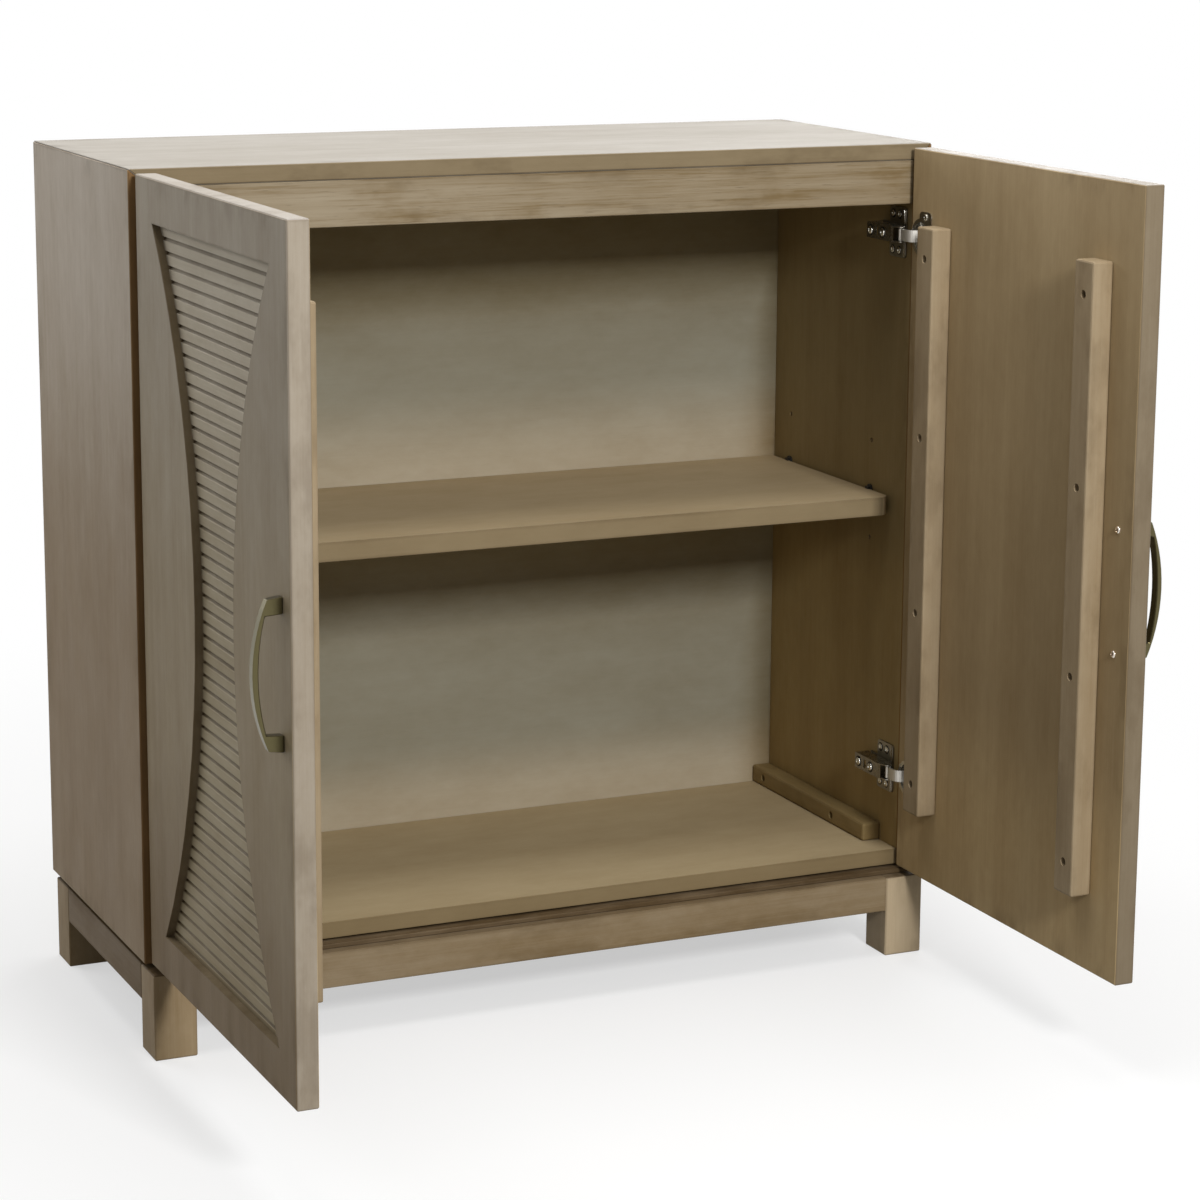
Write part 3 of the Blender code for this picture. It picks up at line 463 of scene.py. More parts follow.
def wood_finish(name, node, seed, masks):
    """Washed wood: straight faint grain, soft bands and clouds in the stain, and glaze along the edges.

    The first of the masks lists faces with another tint, some of it painted light or painted shade, the second says
    where painted shade makes the wash browner and the third where the deep glaze and some painted shade lie.
    """
    axis, brownness, tint = WOOD[node]
    faces, shade, deep = masks
    open_grain = node in OPEN_GRAIN
    look = set_up("chest_wood")
    recipe = Recipe(name)
    here = recipe.place()
    grained = recipe.place((0.37 * seed, 0.71 * seed, 0.53 * seed))
    band, streak, fine, cloud, mottle, pore = [
        recipe.grain(grained, axis, *pattern) for pattern in (BAND, STREAK, FINE, CLOUD, MOTTLE, PORE)]

    figure = OPEN_FIGURE if open_grain else SMOOTH_FIGURE if node in SMOOTH else FIGURE
    brown = brownness + band * 0.5 * figure + cloud * 0.28 + mottle * 0.24 + (streak * 0.45 + fine * 0.3) * figure
    if open_grain:
        wisp = recipe.step(recipe.grain(grained, axis, *WISP), -0.05, 0.2)
        patch = recipe.step(recipe.grain(grained, axis, *PATCH), 0.02, 0.22)
        brown = brown - 0.10 + wisp * 0.24 + patch * 0.20
    else:
        brown = brown + recipe.grain(grained, axis, *SPECK) * (0.10 + 0.16 * figure)
    if shade:
        brown = brown + shade(recipe, here)
    colour = recipe.mix(recipe.clamp(brown), look.pale, look.brown)
    colour = recipe.mix(1.0, colour, tint, "MULTIPLY")
    for where, face_tint in faces:
        colour = recipe.mix(where(recipe, here), colour, recipe.mix(1.0, colour, face_tint, "MULTIPLY"))

    pores = recipe.step(pore, 0.14, 0.26)
    glaze = pores * (0.3 if open_grain else 0.05)
    if open_grain:
        dash = recipe.grain(grained, axis, *DASH)
        glaze = recipe.most(glaze, recipe.step(dash, 0.15, 0.27) * recipe.step(cloud, -0.08, 0.16) * 0.55)
    # Deep glaze, with painted shade in the door recesses, the grooves, the reveal and on the base under the doors
    if deep:
        glaze = recipe.most(glaze, deep(recipe, here, mottle))
    if not node.startswith("reeded_panel"):
        edge = box_edge(recipe, here, *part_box(node))
        reach = look.glaze_width * (1 + 1.6 * mottle + 1.2 * streak)
        glaze = recipe.most(glaze, (1 - recipe.step(edge, 0.0, reach)) * (0.16 + 0.9 * cloud))
        if node not in SMOOTH:
            smudge = (1 - recipe.step(edge, 0.0, look.glaze_width * 6)) * recipe.step(mottle, -0.02, 0.16)
            glaze = recipe.most(glaze, smudge * 0.22)
    colour = recipe.mix(recipe.clamp(glaze), colour, look.glaze)

    dullness = TOP_DULLNESS if node == "case_top" else 0.0
    roughness = (look.roughness + dullness) + 0.2 * mottle + 0.1 * fine + glaze * 0.1
    relief = fine * 0.8 + streak * 0.5 - pores * (1.0 if open_grain else 0.2)
    return recipe.surface(colour, roughness, relief, look.relief, IOR=look.gloss)


# Masks: how strongly a tint, painted light, painted shade or the glaze applies at each place of a piece

def painted_foot_shade(recipe, place):
    """Painted shade: darker and browner towards the foot."""
    z = recipe.axes(place)[Z]
    return (1 - recipe.step(z, *PAINTED_SHADE_FOOT)) * PAINTED_SHADE_FOOT_STRENGTH


def painted_corner_shade(recipe, place):
    """Painted shade: browner where the back meets the case's sides, its top and the shelf."""
    x, _, z = recipe.axes(place)
    beside = 1 - recipe.step(INNER_SIDE_X - abs(x), 0.0, CORNER_SHADE_WIDTH)
    below_top = recipe.step(z, *BELOW_TOP_SHADE)
    below_shelf = recipe.step(z, *BELOW_SHELF_SHADE) * (1 - recipe.step(z, SHELF_UNDERSIDE, SHELF_MIDDLE))
    shade = recipe.most(beside * 0.3, recipe.most(below_top * 0.36, below_shelf * 0.30))
    return shade * inner_back(recipe, place)


def painted_light_under_boards(recipe, place):
    """Painted light: paler high up in both compartments of the back, where the top and the shelf shade it."""
    z = recipe.axes(place)[Z]
    upper = recipe.step(z, *UNDER_TOP)
    lower = recipe.step(z, *UNDER_SHELF) * recipe.step(z, SHELF_MIDDLE, SHELF_UNDERSIDE)
    return recipe.most(upper, lower) * inner_back(recipe, place)


def painted_bounce_light(recipe, place):
    """Painted bounce light: paler low down in both compartments of the back, above the shelf and the floor."""
    z = recipe.axes(place)[Z]
    upper = recipe.step(z, *ABOVE_SHELF) * recipe.step(z, SHELF_UNDERSIDE, SHELF_MIDDLE)
    lower = recipe.step(z, *ABOVE_FLOOR)
    return recipe.most(upper, lower) * inner_back(recipe, place)


def inner_back(recipe, place):
    """The face of the back that looks into the chest."""
    return front_face(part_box("case_back")[0].y + HAIR)(recipe, place)


def inner_face(limit):
    """The face that looks into the chest, which lies nearer to its middle than the limit."""
    return lambda recipe, place: 1 - recipe.step(abs(recipe.axes(place)[X]), limit, limit + HAIR)


def outer_face(limit):
    """The face that looks out to the side, farther from the middle than the limit."""
    return lambda recipe, place: recipe.step(abs(recipe.axes(place)[X]), limit, limit + HAIR)


def between(start, full, face=None):
    """Grows from nothing at one height to all at the other, on one face or on all."""

    def mask(recipe, place):
        amount = recipe.step(recipe.axes(place)[Z], start, full)
        return amount * face(recipe, place) if face else amount

    return mask


def front_face(limit):
    """What lies in front of the limit, such as the front edge of a shelf, a floor, a top or an open door."""
    return lambda recipe, place: 1 - recipe.step(recipe.axes(place)[Y], limit, limit + 2 * HAIR)


def rear_face(limit):
    """What lies behind the limit, such as the face that looks to the back."""
    return lambda recipe, place: recipe.step(recipe.axes(place)[Y], limit - 2 * HAIR, limit)


def joint_glaze(level, width=0.9 * MM, strength=0.5):
    """Broken line of glaze where two pieces meet at a level."""

    def deep(recipe, place, mottle):
        z = recipe.axes(place)[Z]
        reach = recipe.most(width * (1 + 6 * mottle), 0.2 * MM)
        line = 1 - recipe.step(abs(z - level), 0.0, reach)
        return line * recipe.step(mottle, -0.14, 0.1) * strength

    return deep


def top_glaze_and_painted_shade(node, strength):
    """Glaze and painted shade on the upward face of a piece of the base, which stands out a little under the doors
    that shade it.
    """
    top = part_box(node)[1].z

    def deep(recipe, place, mottle):
        upward = recipe.step(recipe.axes(place)[Z], top - 1.6 * MM, top - 0.5 * MM)
        return upward * (strength + mottle * 0.8)

    return deep


def full_glaze_and_painted_shade(recipe, place, mottle):
    """Glaze and painted shade all over a strip that lies back between two others."""
    return 0.75 + 1.2 * mottle


def dark_front_edge(recipe, place, mottle):
    """Dark brown on the front edge of a case side, beside the door."""
    y = recipe.axes(place)[Y]
    return (1 - recipe.step(y, FRONT_Y + 1.0 * MM, FRONT_Y + 1.8 * MM)) * (0.22 + mottle * 0.6)


def recess_glaze_and_painted_shade(recipe, place, mottle):
    """Glaze and painted shade on the walls of a door's recess, and a broken line of glaze along its rim."""
    x = recipe.axes(place)[X]
    inward = abs(recess_edge(recipe, place))
    beyond_back = recipe.step(abs(x), DOOR_INNER_X + 5 * MM, DOOR_INNER_X + 6 * MM)
    sunk = 1 - recipe.step(abs(x), DOOR_FACE_X - 0.9 * MM, DOOR_FACE_X - 0.5 * MM)
    wall = (1 - recipe.step(inward, 0.4 * MM, 0.9 * MM)) * sunk * (0.42 + mottle * 0.7)
    rim = (1 - recipe.step(inward, 0.0, 2.2 * MM)) * (0.2 + mottle * 0.8)
    return recipe.most(wall, rim) * beyond_back


def groove_glaze_and_painted_shade(recipe, place, mottle):
    """Glaze and painted shade in the grooves between the slats, deepest at their ends, and against the recess's walls.
    """
    x = recipe.axes(place)[X]
    depth = (DOOR_FACE_X - SLAT_FACE_DEPTH) - abs(x)
    inward = recess_edge(recipe, place)
    near = 1 - recipe.step(inward, 0.0, 9 * MM)
    groove = recipe.step(depth, 0.1 * MM, 0.8 * MM) * (0.50 + 0.5 * mottle + near * 0.5)
    return recipe.most(groove, near * near * 0.5)


def faces_of(kind):
    """The faces of a kind of piece that have another tint than the rest, each with the name of its tint."""
    door_low, door_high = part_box("door_left")
    top_low, top_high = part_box("case_top")
    door_inside = inner_face(DOOR_INNER_X + 1.5 * HAIR)
    door_outside = outer_face(DOOR_FACE_X - 2 * HAIR)
    door_edge = front_face(door_low.y + HAIR)
    side_inside = inner_face(INNER_SIDE_X + 1.5 * HAIR)
    side_outside = outer_face(CASE_WIDTH / 2 - 2 * HAIR)
    door = [
        (door_inside, "door_inside"),
        (between(*DOOR_INSIDE_PAINTED_LIGHT, door_inside), "door_inside_painted_light"),
        (between(*PAINTED_SHEEN_HIGH, door_outside), "door_outside_painted_sheen"),
        (between(*DOOR_PAINTED_SHADE_LOW, door_outside), "door_outside_painted_shade"),
        (between(door_high.z - 2 * HAIR, door_high.z - HAIR), "door_top"),
    ]
    faces = {
        "door_left": [*door, (door_edge, "left_door_edge")],
        "door_right": [*door, (door_edge, "right_door_edge")],
        "case_side": [
            (front_face(FRONT_Y + SIDE_FRONT_BAND), "side_front"),
            (side_inside, "side_inside"),
            (between(*SIDE_INSIDE_PAINTED_LIGHT, side_inside), "side_inside_painted_light"),
            (between(*PAINTED_SHEEN_HIGH, side_outside), "side_outside_painted_sheen"),
        ],
        "reeded_panel": [(between(*PAINTED_SHEEN_HIGH), "slats_painted_sheen"), (between(*SLATS_PAINTED_SHADE_LOW), "slats_painted_shade")],
        "case_top": [
            (front_face(top_low.y + HAIR), "top_ends"),
            (rear_face(top_high.y - HAIR), "top_ends"),
        ],
        "case_back": [
            (painted_bounce_light, "painted_bounce_light"),
            (painted_light_under_boards, "painted_light_under_boards"),
            (rear_face(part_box("case_back")[1].y - HAIR), "back_rear"),
        ],
        "shelf": [(front_face(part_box("shelf")[0].y + HAIR), "shelf_front")],
        "case_bottom": [(front_face(FRONT_Y + HAIR), "bottom_front")],
    }
    return [(where, FACE_TINTS[tint]) for where, tint in faces.get(kind, [])]


def masks_of(node):
    """Where a wooden piece has another tint, where painted shade makes its wash browner and where the deep glaze lies.
    """
    kind = node if node.startswith("door_") else node.removesuffix("_left").removesuffix("_right")
    top_joint = joint_glaze(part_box("top_front_rail")[1].z)
    # Painted shade: darker towards the foot of doors, sides and slats, and in the corners of the back
    shade = {"case_side": painted_foot_shade, "door_left": painted_foot_shade, "door_right": painted_foot_shade, "reeded_panel": painted_foot_shade,
             "case_back": painted_corner_shade}
    deep = {
        "top_front_rail": top_joint,
        "case_top": top_joint,
        "case_side": dark_front_edge,
        "door_left": recess_glaze_and_painted_shade,
        "door_right": recess_glaze_and_painted_shade,
        "reeded_panel": groove_glaze_and_painted_shade,
        "case_bottom": joint_glaze(BASE_HEIGHT, BASE_JOINT_GLAZE_WIDTH, BASE_JOINT_GLAZE),
        "reveal_board": full_glaze_and_painted_shade,
    }
    glaze = deep.get(kind)
    if node.startswith("base_rail"):
        glaze = top_glaze_and_painted_shade(node, BASE_RAIL_GLAZE_AND_SHADE)
    elif node.startswith("leg"):
        glaze = top_glaze_and_painted_shade(node, LEG_GLAZE_AND_SHADE)
    return faces_of(kind), shade.get(kind), glaze


# Metal and plastic

def metal_finish(name, tone, roughness, axis=Z, seed=1, tarnish=0.2, relief=0.03 * MM):
    """Plated metal: a brushed direction, clouded sheen and a little tarnish."""
    recipe = Recipe(name)
    here = recipe.place((0.13 * seed, 0.29 * seed, 0.41 * seed))
    brushed = recipe.grain(here, axis, 120, 2600, 3, 0.6)
    cloud = recipe.noise(here, 60, 3)
    spots = recipe.step(recipe.noise(here, 700, 2), 0.1, 0.3)
    dull = [channel * 0.45 for channel in tone]
    colour = recipe.mix(recipe.clamp(tarnish * (0.5 + 1.2 * cloud + 0.25 * spots)), tone, dull)
    shine = roughness + 0.12 * cloud + 0.06 * brushed + spots * 0.04
    return recipe.surface(colour, shine, brushed, relief, Metallic=1.0)


def zinc_finish(name):
    """Zinc plate with the faint rainbow of its passivation."""
    look = set_up("chest_metal")
    recipe = Recipe(name)
    here = recipe.place()
    warm = recipe.mix(recipe.noise(here, 420, 2) * 2.2 + 0.5, ZINC_YELLOW, ZINC_GREEN)
    tint = recipe.mix(recipe.noise(here, 610, 1) * 2.0 + 0.35, warm, ZINC_PINK)
    colour = recipe.mix(0.55, look.zinc, tint)
    turning = recipe.noise(here, 1800, 2)
    return recipe.surface(colour, 0.26 + 0.2 * turning, turning, 0.02 * MM, Metallic=1.0)


def plastic_finish(name):
    """Moulded nylon with a fine matt texture."""
    look = set_up("chest_metal")
    recipe = Recipe(name)
    here = recipe.place()
    texture = recipe.noise(here, 2400, 2)
    wear = recipe.step(recipe.noise(here, 260, 3), 0.05, 0.25)
    colour = recipe.mix(wear * 0.25, look.plastic, WORN_PLASTIC)
    return recipe.surface(colour, 0.38 + 0.25 * texture, texture, 0.04 * MM)


def finish(node, material):
    """Give a node of the frame its material."""
    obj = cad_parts[node]
    if not obj.material_slots:
        obj.data.materials.append(None)
    for slot in obj.material_slots:
        slot.link = "OBJECT"
        slot.material = material


# Places on the chest

def case_place(side, x, y, z):
    """A point by its distance in from the case's outer side, back from its front and up from its foot."""
    return Vector((SIDES[side] * (CASE_WIDTH / 2 - x), FRONT_Y + y, BASE_HEIGHT + z))


def door_place(side, u, v, z):
    """A point on the open door: u from its hinge edge, v out from its inner face, z from the case's foot."""
    return Vector((SIDES[side] * (DOOR_INNER_X - v), DOOR_HINGE_Y - u, BASE_HEIGHT + z))


def facing(side, point, turn=0.0):
    """Placing matrix of a screw that faces the middle of the chest."""
    heading = Matrix.Rotation(-SIDES[side] * pi / 2, 4, "Y")
    return Matrix.Translation(point) @ heading @ Matrix.Rotation(turn, 4, "Z")


# Screws and other added pieces

def mesh_object(name, bm):
    """An object of a bmesh, which is used up."""
    mesh = bpy.data.meshes.new(name)
    bm.to_mesh(mesh)
    bm.free()
    obj = bpy.data.objects.new(name, mesh)
    bpy.context.scene.collection.objects.link(obj)
    return obj


def piece(name, bm, material, body):
    """Make a named piece of a bmesh that is already in place, and let it ride on a body."""
    bmesh.ops.recalc_face_normals(bm, faces=bm.faces)
    obj = mesh_object(name, bm)
    mesh = obj.data
    mesh.materials.append(material)
    mesh.shade_smooth()
    mesh.set_sharp_from_angle(angle=SHARP_ANGLE)
    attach(obj, body)


def turned(outline, closed):
    """A bmesh of an outline of radius and height turned about the z axis."""
    bm = bmesh.new()
    verts = [bm.verts.new((x, 0, z)) for x, z in outline]
    following = (*verts[1:], verts[0]) if closed else verts[1:]
    edges = [bm.edges.new(pair) for pair in zip(verts, following)]
    bmesh.ops.spin(bm, geom=verts + edges, axis=(0, 0, 1), cent=(0, 0, 0), angle=2 * pi, steps=HEAD_SEGMENTS,
                   use_merge=True)
    reach = max(x for x, _ in outline)
    bmesh.ops.remove_doubles(bm, verts=bm.verts, dist=reach * 1e-4)
    bmesh.ops.recalc_face_normals(bm, faces=bm.faces)
    return bm


def screw_head(radius, height, dome):
    """A domed screw head with a cross recess, standing on the plane z = 0."""
    shoulder = height * (1 - dome)
    arc = [radians(angle) for angle in range(0, 91, 15)]
    outline = [(0, 0), (radius, 0)] + [(radius * cos(a), shoulder + height * dome * sin(a)) for a in arc]
    blank = mesh_object("screw_head_blank", turned(outline, closed=False))
    cutters = []
    for turn in (0, pi / 2):
        cross = bmesh.new()
        bmesh.ops.create_cube(cross, size=1)
        for vert in cross.verts:
            end = 0 if vert.co.z < 0 else 1
            vert.co.x *= radius * CROSS_LENGTH[end]
            vert.co.y *= radius * CROSS_WIDTH
            vert.co.z = height * CROSS_LEVEL[end]
        bmesh.ops.rotate(cross, verts=cross.verts, matrix=Matrix.Rotation(turn, 3, "Z"))
        cutters.append(mesh_object("cross_cutter", cross))
        cut = blank.modifiers.new("cross", "BOOLEAN")
        cut.operation = "DIFFERENCE"
        cut.solver = "EXACT"
        cut.object = cutters[-1]
    graph = bpy.context.evaluated_depsgraph_get()
    head = bpy.data.meshes.new_from_object(blank.evaluated_get(graph))
    for spare in (blank, *cutters):
        bpy.data.objects.remove(spare)
    return head


def screw_shade_ring(radius, inner_share, outer_share, height):
    """A dark ring of painted shade round a screw head of a radius, standing on the plane z = 0."""
    inner, outer = radius * inner_share, radius * outer_share
    bm = turned([(inner, 0), (outer, 0), (outer - height / 2, height), (inner, height)], closed=True)
    mesh = bpy.data.meshes.new("screw_shade_ring")
    bm.to_mesh(mesh)
    bm.free()
    return mesh


def copies(name, head, places, material, body):
    """Copies of a screw head or of its dark ring, joined to one piece."""
    bm = bmesh.new()
    for matrix in places:
        start = len(bm.verts)
        bm.from_mesh(head)
        bm.verts.ensure_lookup_table()
        bmesh.ops.transform(bm, matrix=matrix, verts=bm.verts[start:])
    piece(name, bm, material, body)


# Operators

class CHEST_OT_wood(bpy.types.Operator):
    """Finish every wooden piece"""

    bl_idname = "chest.wood"
    bl_label = "Wood"

    def execute(self, context):
        for seed, node in enumerate(WOOD, 1):
            finish(node, wood_finish(f"washed_wood_{node}", node, seed, masks_of(node)))
        return {"FINISHED"}


class CHEST_OT_metal(bpy.types.Operator):
    """Finish the hinges and the pulls"""

    bl_idname = "chest.metal"
    bl_label = "Hinges and pulls"

    def execute(self, context):
        look = set_up("chest_metal")
        brass = metal_finish("aged_brass", look.brass, 0.30, seed=5, tarnish=0.22, relief=0.04 * MM)
        nickel = {
            "plate": metal_finish("plate_nickel", look.arm, 0.30, seed=1, tarnish=0.25),
            "arm": metal_finish("arm_nickel", look.arm, 0.27, axis=Y, seed=2, tarnish=0.25),
            "link": metal_finish("link_nickel", look.link, 0.48, seed=3, tarnish=0.12),
            "cup": metal_finish("cup_nickel", look.link, 0.24, seed=4, tarnish=0.12),
        }
        for side in SIDES:
            finish(f"pull_{side}", brass)
            for level in LEVELS:
                for part, material in nickel.items():
                    finish(f"hinge_{part}_{side}_{level}", material)
        return {"FINISHED"}


class CHEST_OT_clips(bpy.types.Operator):
    """Finish the shelf clips"""

    bl_idname = "chest.clips"
    bl_label = "Shelf clips"

    def execute(self, context):
        nylon = plastic_finish("black_nylon")
        for side in SIDES:
            for row in ("front", "rear"):
                finish(f"shelf_clip_{side}_{row}", nylon)
        return {"FINISHED"}


class CHEST_OT_hinge_screws(bpy.types.Operator):
    """Add the screws of the hinge arms, plates and cups"""

    bl_idname = "chest.hinge_screws"
    bl_label = "Hinge screws"

    def execute(self, context):
        look = set_up("chest_metal")
        bright = metal_finish("screw_nickel", look.zinc, 0.18, seed=6, tarnish=0.1)
        # Rings of painted shade round the hinge screws
        dark = metal_finish("painted_shade_black", SHADE_RING_TONE, 0.45, seed=9)
        arm_head = screw_head(look.arm_screw, *ARM_HEAD)
        plate_head = screw_head(look.plate_screw, *PLATE_HEAD)
        arm_shade_ring = screw_shade_ring(look.arm_screw, *ARM_SHADE_RING)
        plate_shade_ring = screw_shade_ring(look.plate_screw, *PLATE_SHADE_RING)
        for side in SIDES:
            for level, z in LEVELS.items():
                arm = [facing(side, case_place(side, ARM_FACE, y, z), turn) for y, turn in ARM_SCREWS]
                plate = [facing(side, case_place(side, PLATE_FACE, y, z + dz), 0.4 + 37 * y + dz * 50)
                         for y in PLATE_SCREWS_Y for dz in PLATE_SCREWS_Z]
                cup = [facing(side, door_place(side, CUP_SCREWS_U, CUP_FLANGE, z + dz), 0.7 + dz * 30)
                       for dz in CUP_SCREWS_Z]
                end = f"{side}_{level}"
                copies(f"hinge_arm_screws_{end}", arm_head, arm, bright, "case")
                copies(f"hinge_arm_wells_{end}", arm_shade_ring, arm, dark, "case")
                copies(f"hinge_plate_screws_{end}", plate_head, plate, bright, "case")
                copies(f"hinge_plate_wells_{end}", plate_shade_ring, plate, dark, "case")
                copies(f"hinge_cup_screws_{end}", plate_head, cup, bright, f"{side}_door")
        return {"FINISHED"}


class CHEST_OT_plate_lips(bpy.types.Operator):
    """Add the folded front edge of each hinge plate's wings"""

    bl_idname = "chest.plate_lips"
    bl_label = "Plate lips"

    def execute(self, context):
        look = set_up("chest_metal")
        material = metal_finish("lip_nickel", look.link, 0.22, seed=7, tarnish=0.1)
        size = Matrix.Diagonal((*PLATE_LIP, 1))
        for side in SIDES:
            for level, z in LEVELS.items():
                bm = bmesh.new()
                for dz in PLATE_LIPS_Z:
                    centre = case_place(side, PLATE_LIP_OUT, PLATE_LIP_Y, z + dz)
                    bmesh.ops.create_cube(bm, size=1, matrix=Matrix.Translation(centre) @ size)
                bmesh.ops.bevel(bm, geom=bm.edges[:], offset=PLATE_LIP_BEVEL, segments=2, affect="EDGES", profile=0.5,
                                material=-1)
                piece(f"hinge_plate_lips_{side}_{level}", bm, material, "case")
        return {"FINISHED"}


class CHEST_OT_wood_screws(bpy.types.Operator):
    """Add the screws sunk into the battens and the floor cleats"""

    bl_idname = "chest.wood_screws"
    bl_label = "Sunk screws"

    def execute(self, context):
        look = set_up("chest_metal")
        material = metal_finish("sunk_screw_steel", look.arm, 0.35, seed=8, tarnish=0.4)
        head = screw_head(look.batten_screw, *SUNK_HEAD)
        batten_depth = BATTEN_THICKNESS - COUNTERBORE_DEPTH
        for side in SIDES:
            for where in ("hinge", "meeting"):
                low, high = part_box(f"batten_{where}_{side}")
                u = DOOR_HINGE_Y - (low.y + high.y) / 2
                places = [facing(side, door_place(side, u, batten_depth, z), 9 * z) for z in BATTEN_HOLES]
                copies(f"batten_screws_{where}_{side}", head, places, material, f"{side}_door")
            low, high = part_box(f"floor_cleat_{side}")
            inner = CASE_WIDTH / 2 - min(abs(low.x), abs(high.x)) - COUNTERBORE_DEPTH
            z = (low.z + high.z) / 2 - BASE_HEIGHT
            places = [facing(side, case_place(side, inner, y, z), 7 * y) for y in CLEAT_HOLES_Y]
            copies(f"cleat_screws_{side}", head, places, material, "case")
        return {"FINISHED"}


class CHEST_OT_pull_screws(bpy.types.Operator):
    """Add the screws that hold the pulls, on the doors' inner faces"""

    bl_idname = "chest.pull_screws"
    bl_label = "Pull screws"

    def execute(self, context):
        look = set_up("chest_metal")
        material = zinc_finish("rainbow_zinc")
        head = screw_head(look.pull_screw, *PULL_HEAD)
        for side in SIDES:
            low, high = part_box(f"pull_{side}")
            u = DOOR_HINGE_Y - (low.y + high.y) / 2
            middle = (low.z + high.z) / 2 - BASE_HEIGHT
            places = [facing(side, door_place(side, u, 0, middle + dz), 0.5 + dz * 11)
                      for dz in (-PULL_CENTRES / 2, PULL_CENTRES / 2)]
            copies(f"pull_screws_{side}", head, places, material, f"{side}_door")
        return {"FINISHED"}


def soft_box(name, power, location, target, width, height):
    """A rectangular light that points at a target."""
    light = bpy.data.lights.new(name, "AREA")
    light.shape = "RECTANGLE"
    light.size = width
    light.size_y = height
    light.energy = power
    obj = bpy.data.objects.new(name, light)
    obj.location = location
    obj.rotation_euler = (Vector(target) - Vector(location)).to_track_quat("-Z", "Y").to_euler()
    obj.visible_camera = False
    bpy.context.scene.collection.objects.link(obj)


class CHEST_OT_stage(bpy.types.Operator):
    """Make the floor, the lights, the white surroundings and the camera"""

    bl_idname = "chest.stage"
    bl_label = "Stage"

    def execute(self, context):
        studio = set_up("chest_studio")
        scene = context.scene
        bm = bmesh.new()
        bmesh.ops.create_circle(bm, cap_ends=True, segments=96, radius=studio.floor_radius)
        floor = mesh_object("studio_floor", bm)
        floor.data.materials.append(floor_finish(studio))

        soft_box("key", studio.key, *KEY_BOX)
        soft_box("overhead", studio.overhead, *OVERHEAD_BOX)
        soft_box("rim", studio.rim, *RIM_BOX)
        soft_box("rim_right", studio.rim * RIGHT_RIM_SHARE, *RIGHT_RIM_BOX)

        around = Recipe("white_surroundings", world=True)
        around.feed(around.shader.inputs["Color"], (1, 1, 1, 1))
        around.feed(around.shader.inputs["Strength"], studio.ambient + (1 - studio.ambient) * around.seen())
        scene.world = around.material
        scene.view_settings.view_transform = "Standard"

        camera = bpy.data.cameras.new("camera")
        camera.sensor_width = SENSOR_WIDTH
        camera.lens = studio.focal_length
        camera.shift_y = CAMERA_SHIFT
        obj = bpy.data.objects.new("camera", camera)
        obj.matrix_world = camera_pose()
        scene.collection.objects.link(obj)
        scene.camera = obj
        return {"FINISHED"}


def floor_finish(studio):
    """Pale floor that takes the chest's shadow near it and is plain white far out."""
    recipe = Recipe("pale_floor")
    here = recipe.place()
    x, y, _ = recipe.axes(here)
    distance = recipe.calc("SQRT", x * x + y * y)
    seen = recipe.seen()
    recipe.surface(studio.floor, 0.75 + 0.1 * recipe.noise(here, 60, 3))
    shown = Value(recipe, recipe.shader.outputs[0])
    bounce = recipe.node("ShaderNodeBsdfDiffuse", None, {"Color": opaque(studio.bounce)})
    near = recipe.node("ShaderNodeMixShader", None, {0: seen, 1: bounce, 2: shown})
    white = recipe.node("ShaderNodeEmission", None, {"Color": (1, 1, 1, 1), "Strength": 1.0})
    fade = seen * (FLOOR_WHITENESS + (1 - FLOOR_WHITENESS) * recipe.step(distance, *FLOOR_FADE))
    mixed = recipe.node("ShaderNodeMixShader", None, {0: fade, 1: near, 2: white})
    recipe.tree.links.new(mixed.socket, recipe.tree.nodes["Material Output"].inputs["Surface"])
    return recipe.material


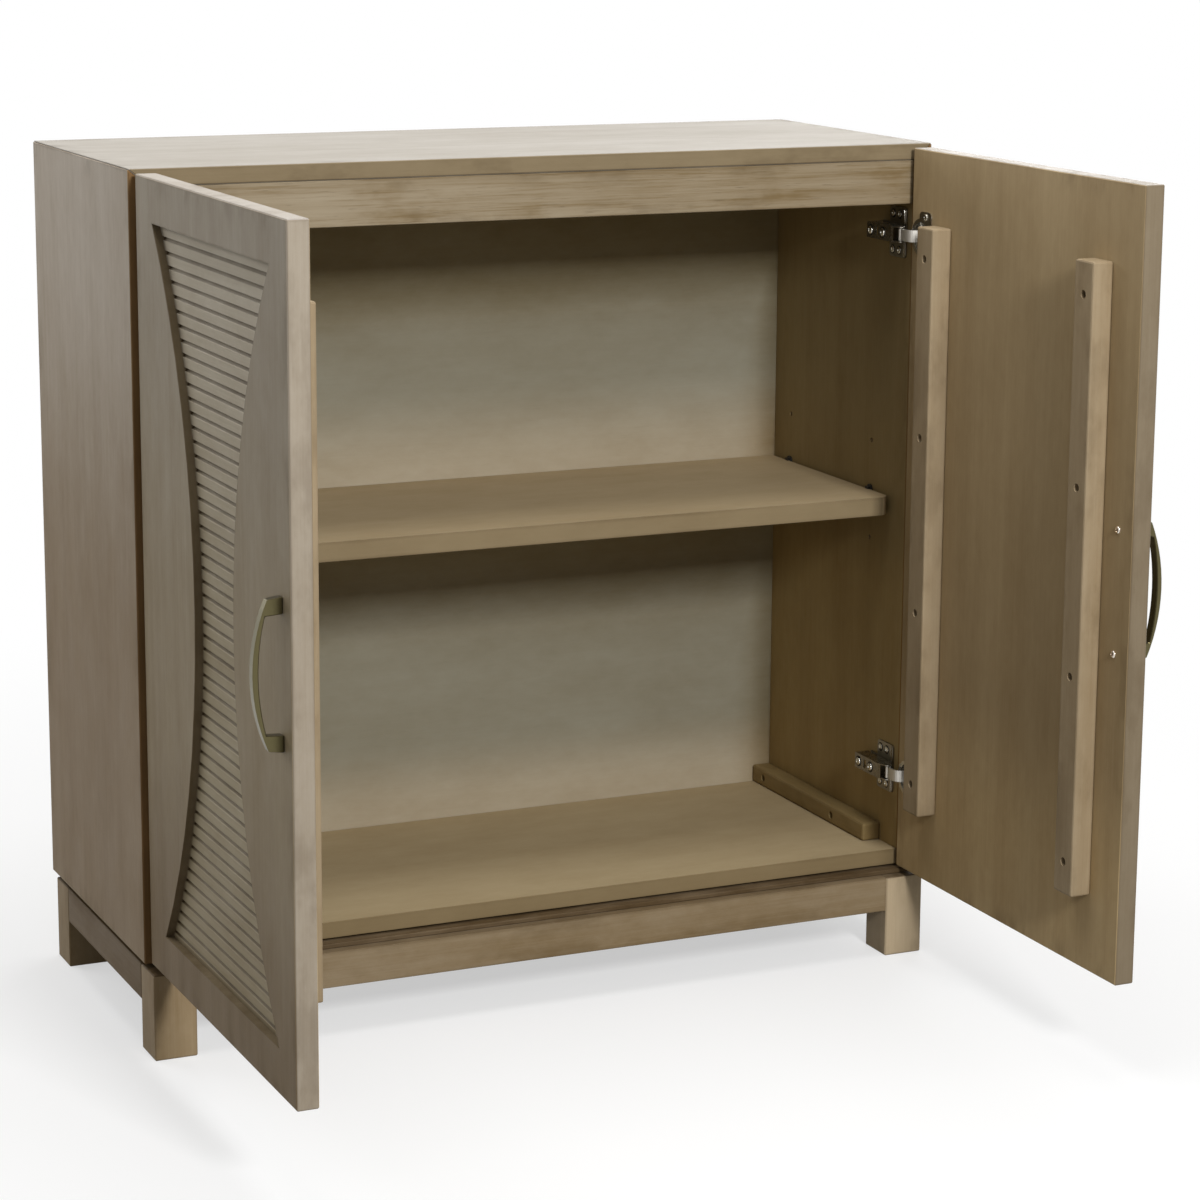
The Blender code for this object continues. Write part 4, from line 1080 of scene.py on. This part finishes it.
def camera_pose():
    """Camera to the left of the chest's front, turned right, tipped down and slightly rolled."""
    right = Vector((cos(CAMERA_YAW), -sin(CAMERA_YAW), 0))
    level = Vector((sin(CAMERA_YAW), cos(CAMERA_YAW), 0))
    ahead = level * cos(CAMERA_PITCH) - Vector((0, 0, sin(CAMERA_PITCH)))
    up = Vector((0, 0, cos(CAMERA_PITCH))) + level * sin(CAMERA_PITCH)
    across = right * cos(CAMERA_ROLL) + up * sin(CAMERA_ROLL)
    above = up * cos(CAMERA_ROLL) - right * sin(CAMERA_ROLL)
    turn = Matrix((across, above, -ahead)).transposed()
    return Matrix.Translation(CAMERA_PLACE) @ turn.to_4x4()


class CHEST_PT_panel(bpy.types.Panel):
    """Lists the chest's settings and steps"""

    bl_idname = "CHEST_PT_panel"
    bl_label = "Two-door chest"
    bl_space_type = "VIEW_3D"
    bl_region_type = "UI"
    bl_category = "Chest"

    def draw(self, context):
        for group in GROUPS:
            box = self.layout.box()
            settings = getattr(context.scene, group)
            for key in settings.__annotations__:
                box.prop(settings, key)
        for step in STEPS:
            self.layout.operator(step.bl_idname)


GROUPS = {"chest_wood": ChestWood, "chest_metal": ChestMetal, "chest_studio": ChestStudio}
STEPS = (CHEST_OT_wood, CHEST_OT_metal, CHEST_OT_clips, CHEST_OT_hinge_screws, CHEST_OT_plate_lips,
         CHEST_OT_wood_screws, CHEST_OT_pull_screws, CHEST_OT_stage)


def register():
    for cls in (*GROUPS.values(), *STEPS, CHEST_PT_panel):
        bpy.utils.register_class(cls)
    for name, cls in GROUPS.items():
        setattr(bpy.types.Scene, name, PointerProperty(type=cls))


def unregister():
    for name in GROUPS:
        delattr(bpy.types.Scene, name)
    for cls in reversed((*GROUPS.values(), *STEPS, CHEST_PT_panel)):
        bpy.utils.unregister_class(cls)


def main():
    """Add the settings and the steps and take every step."""
    register()
    for step in STEPS:
        group, name = step.bl_idname.split(".")
        getattr(getattr(bpy.ops, group), name)()


if __name__ == "__main__":
    main()
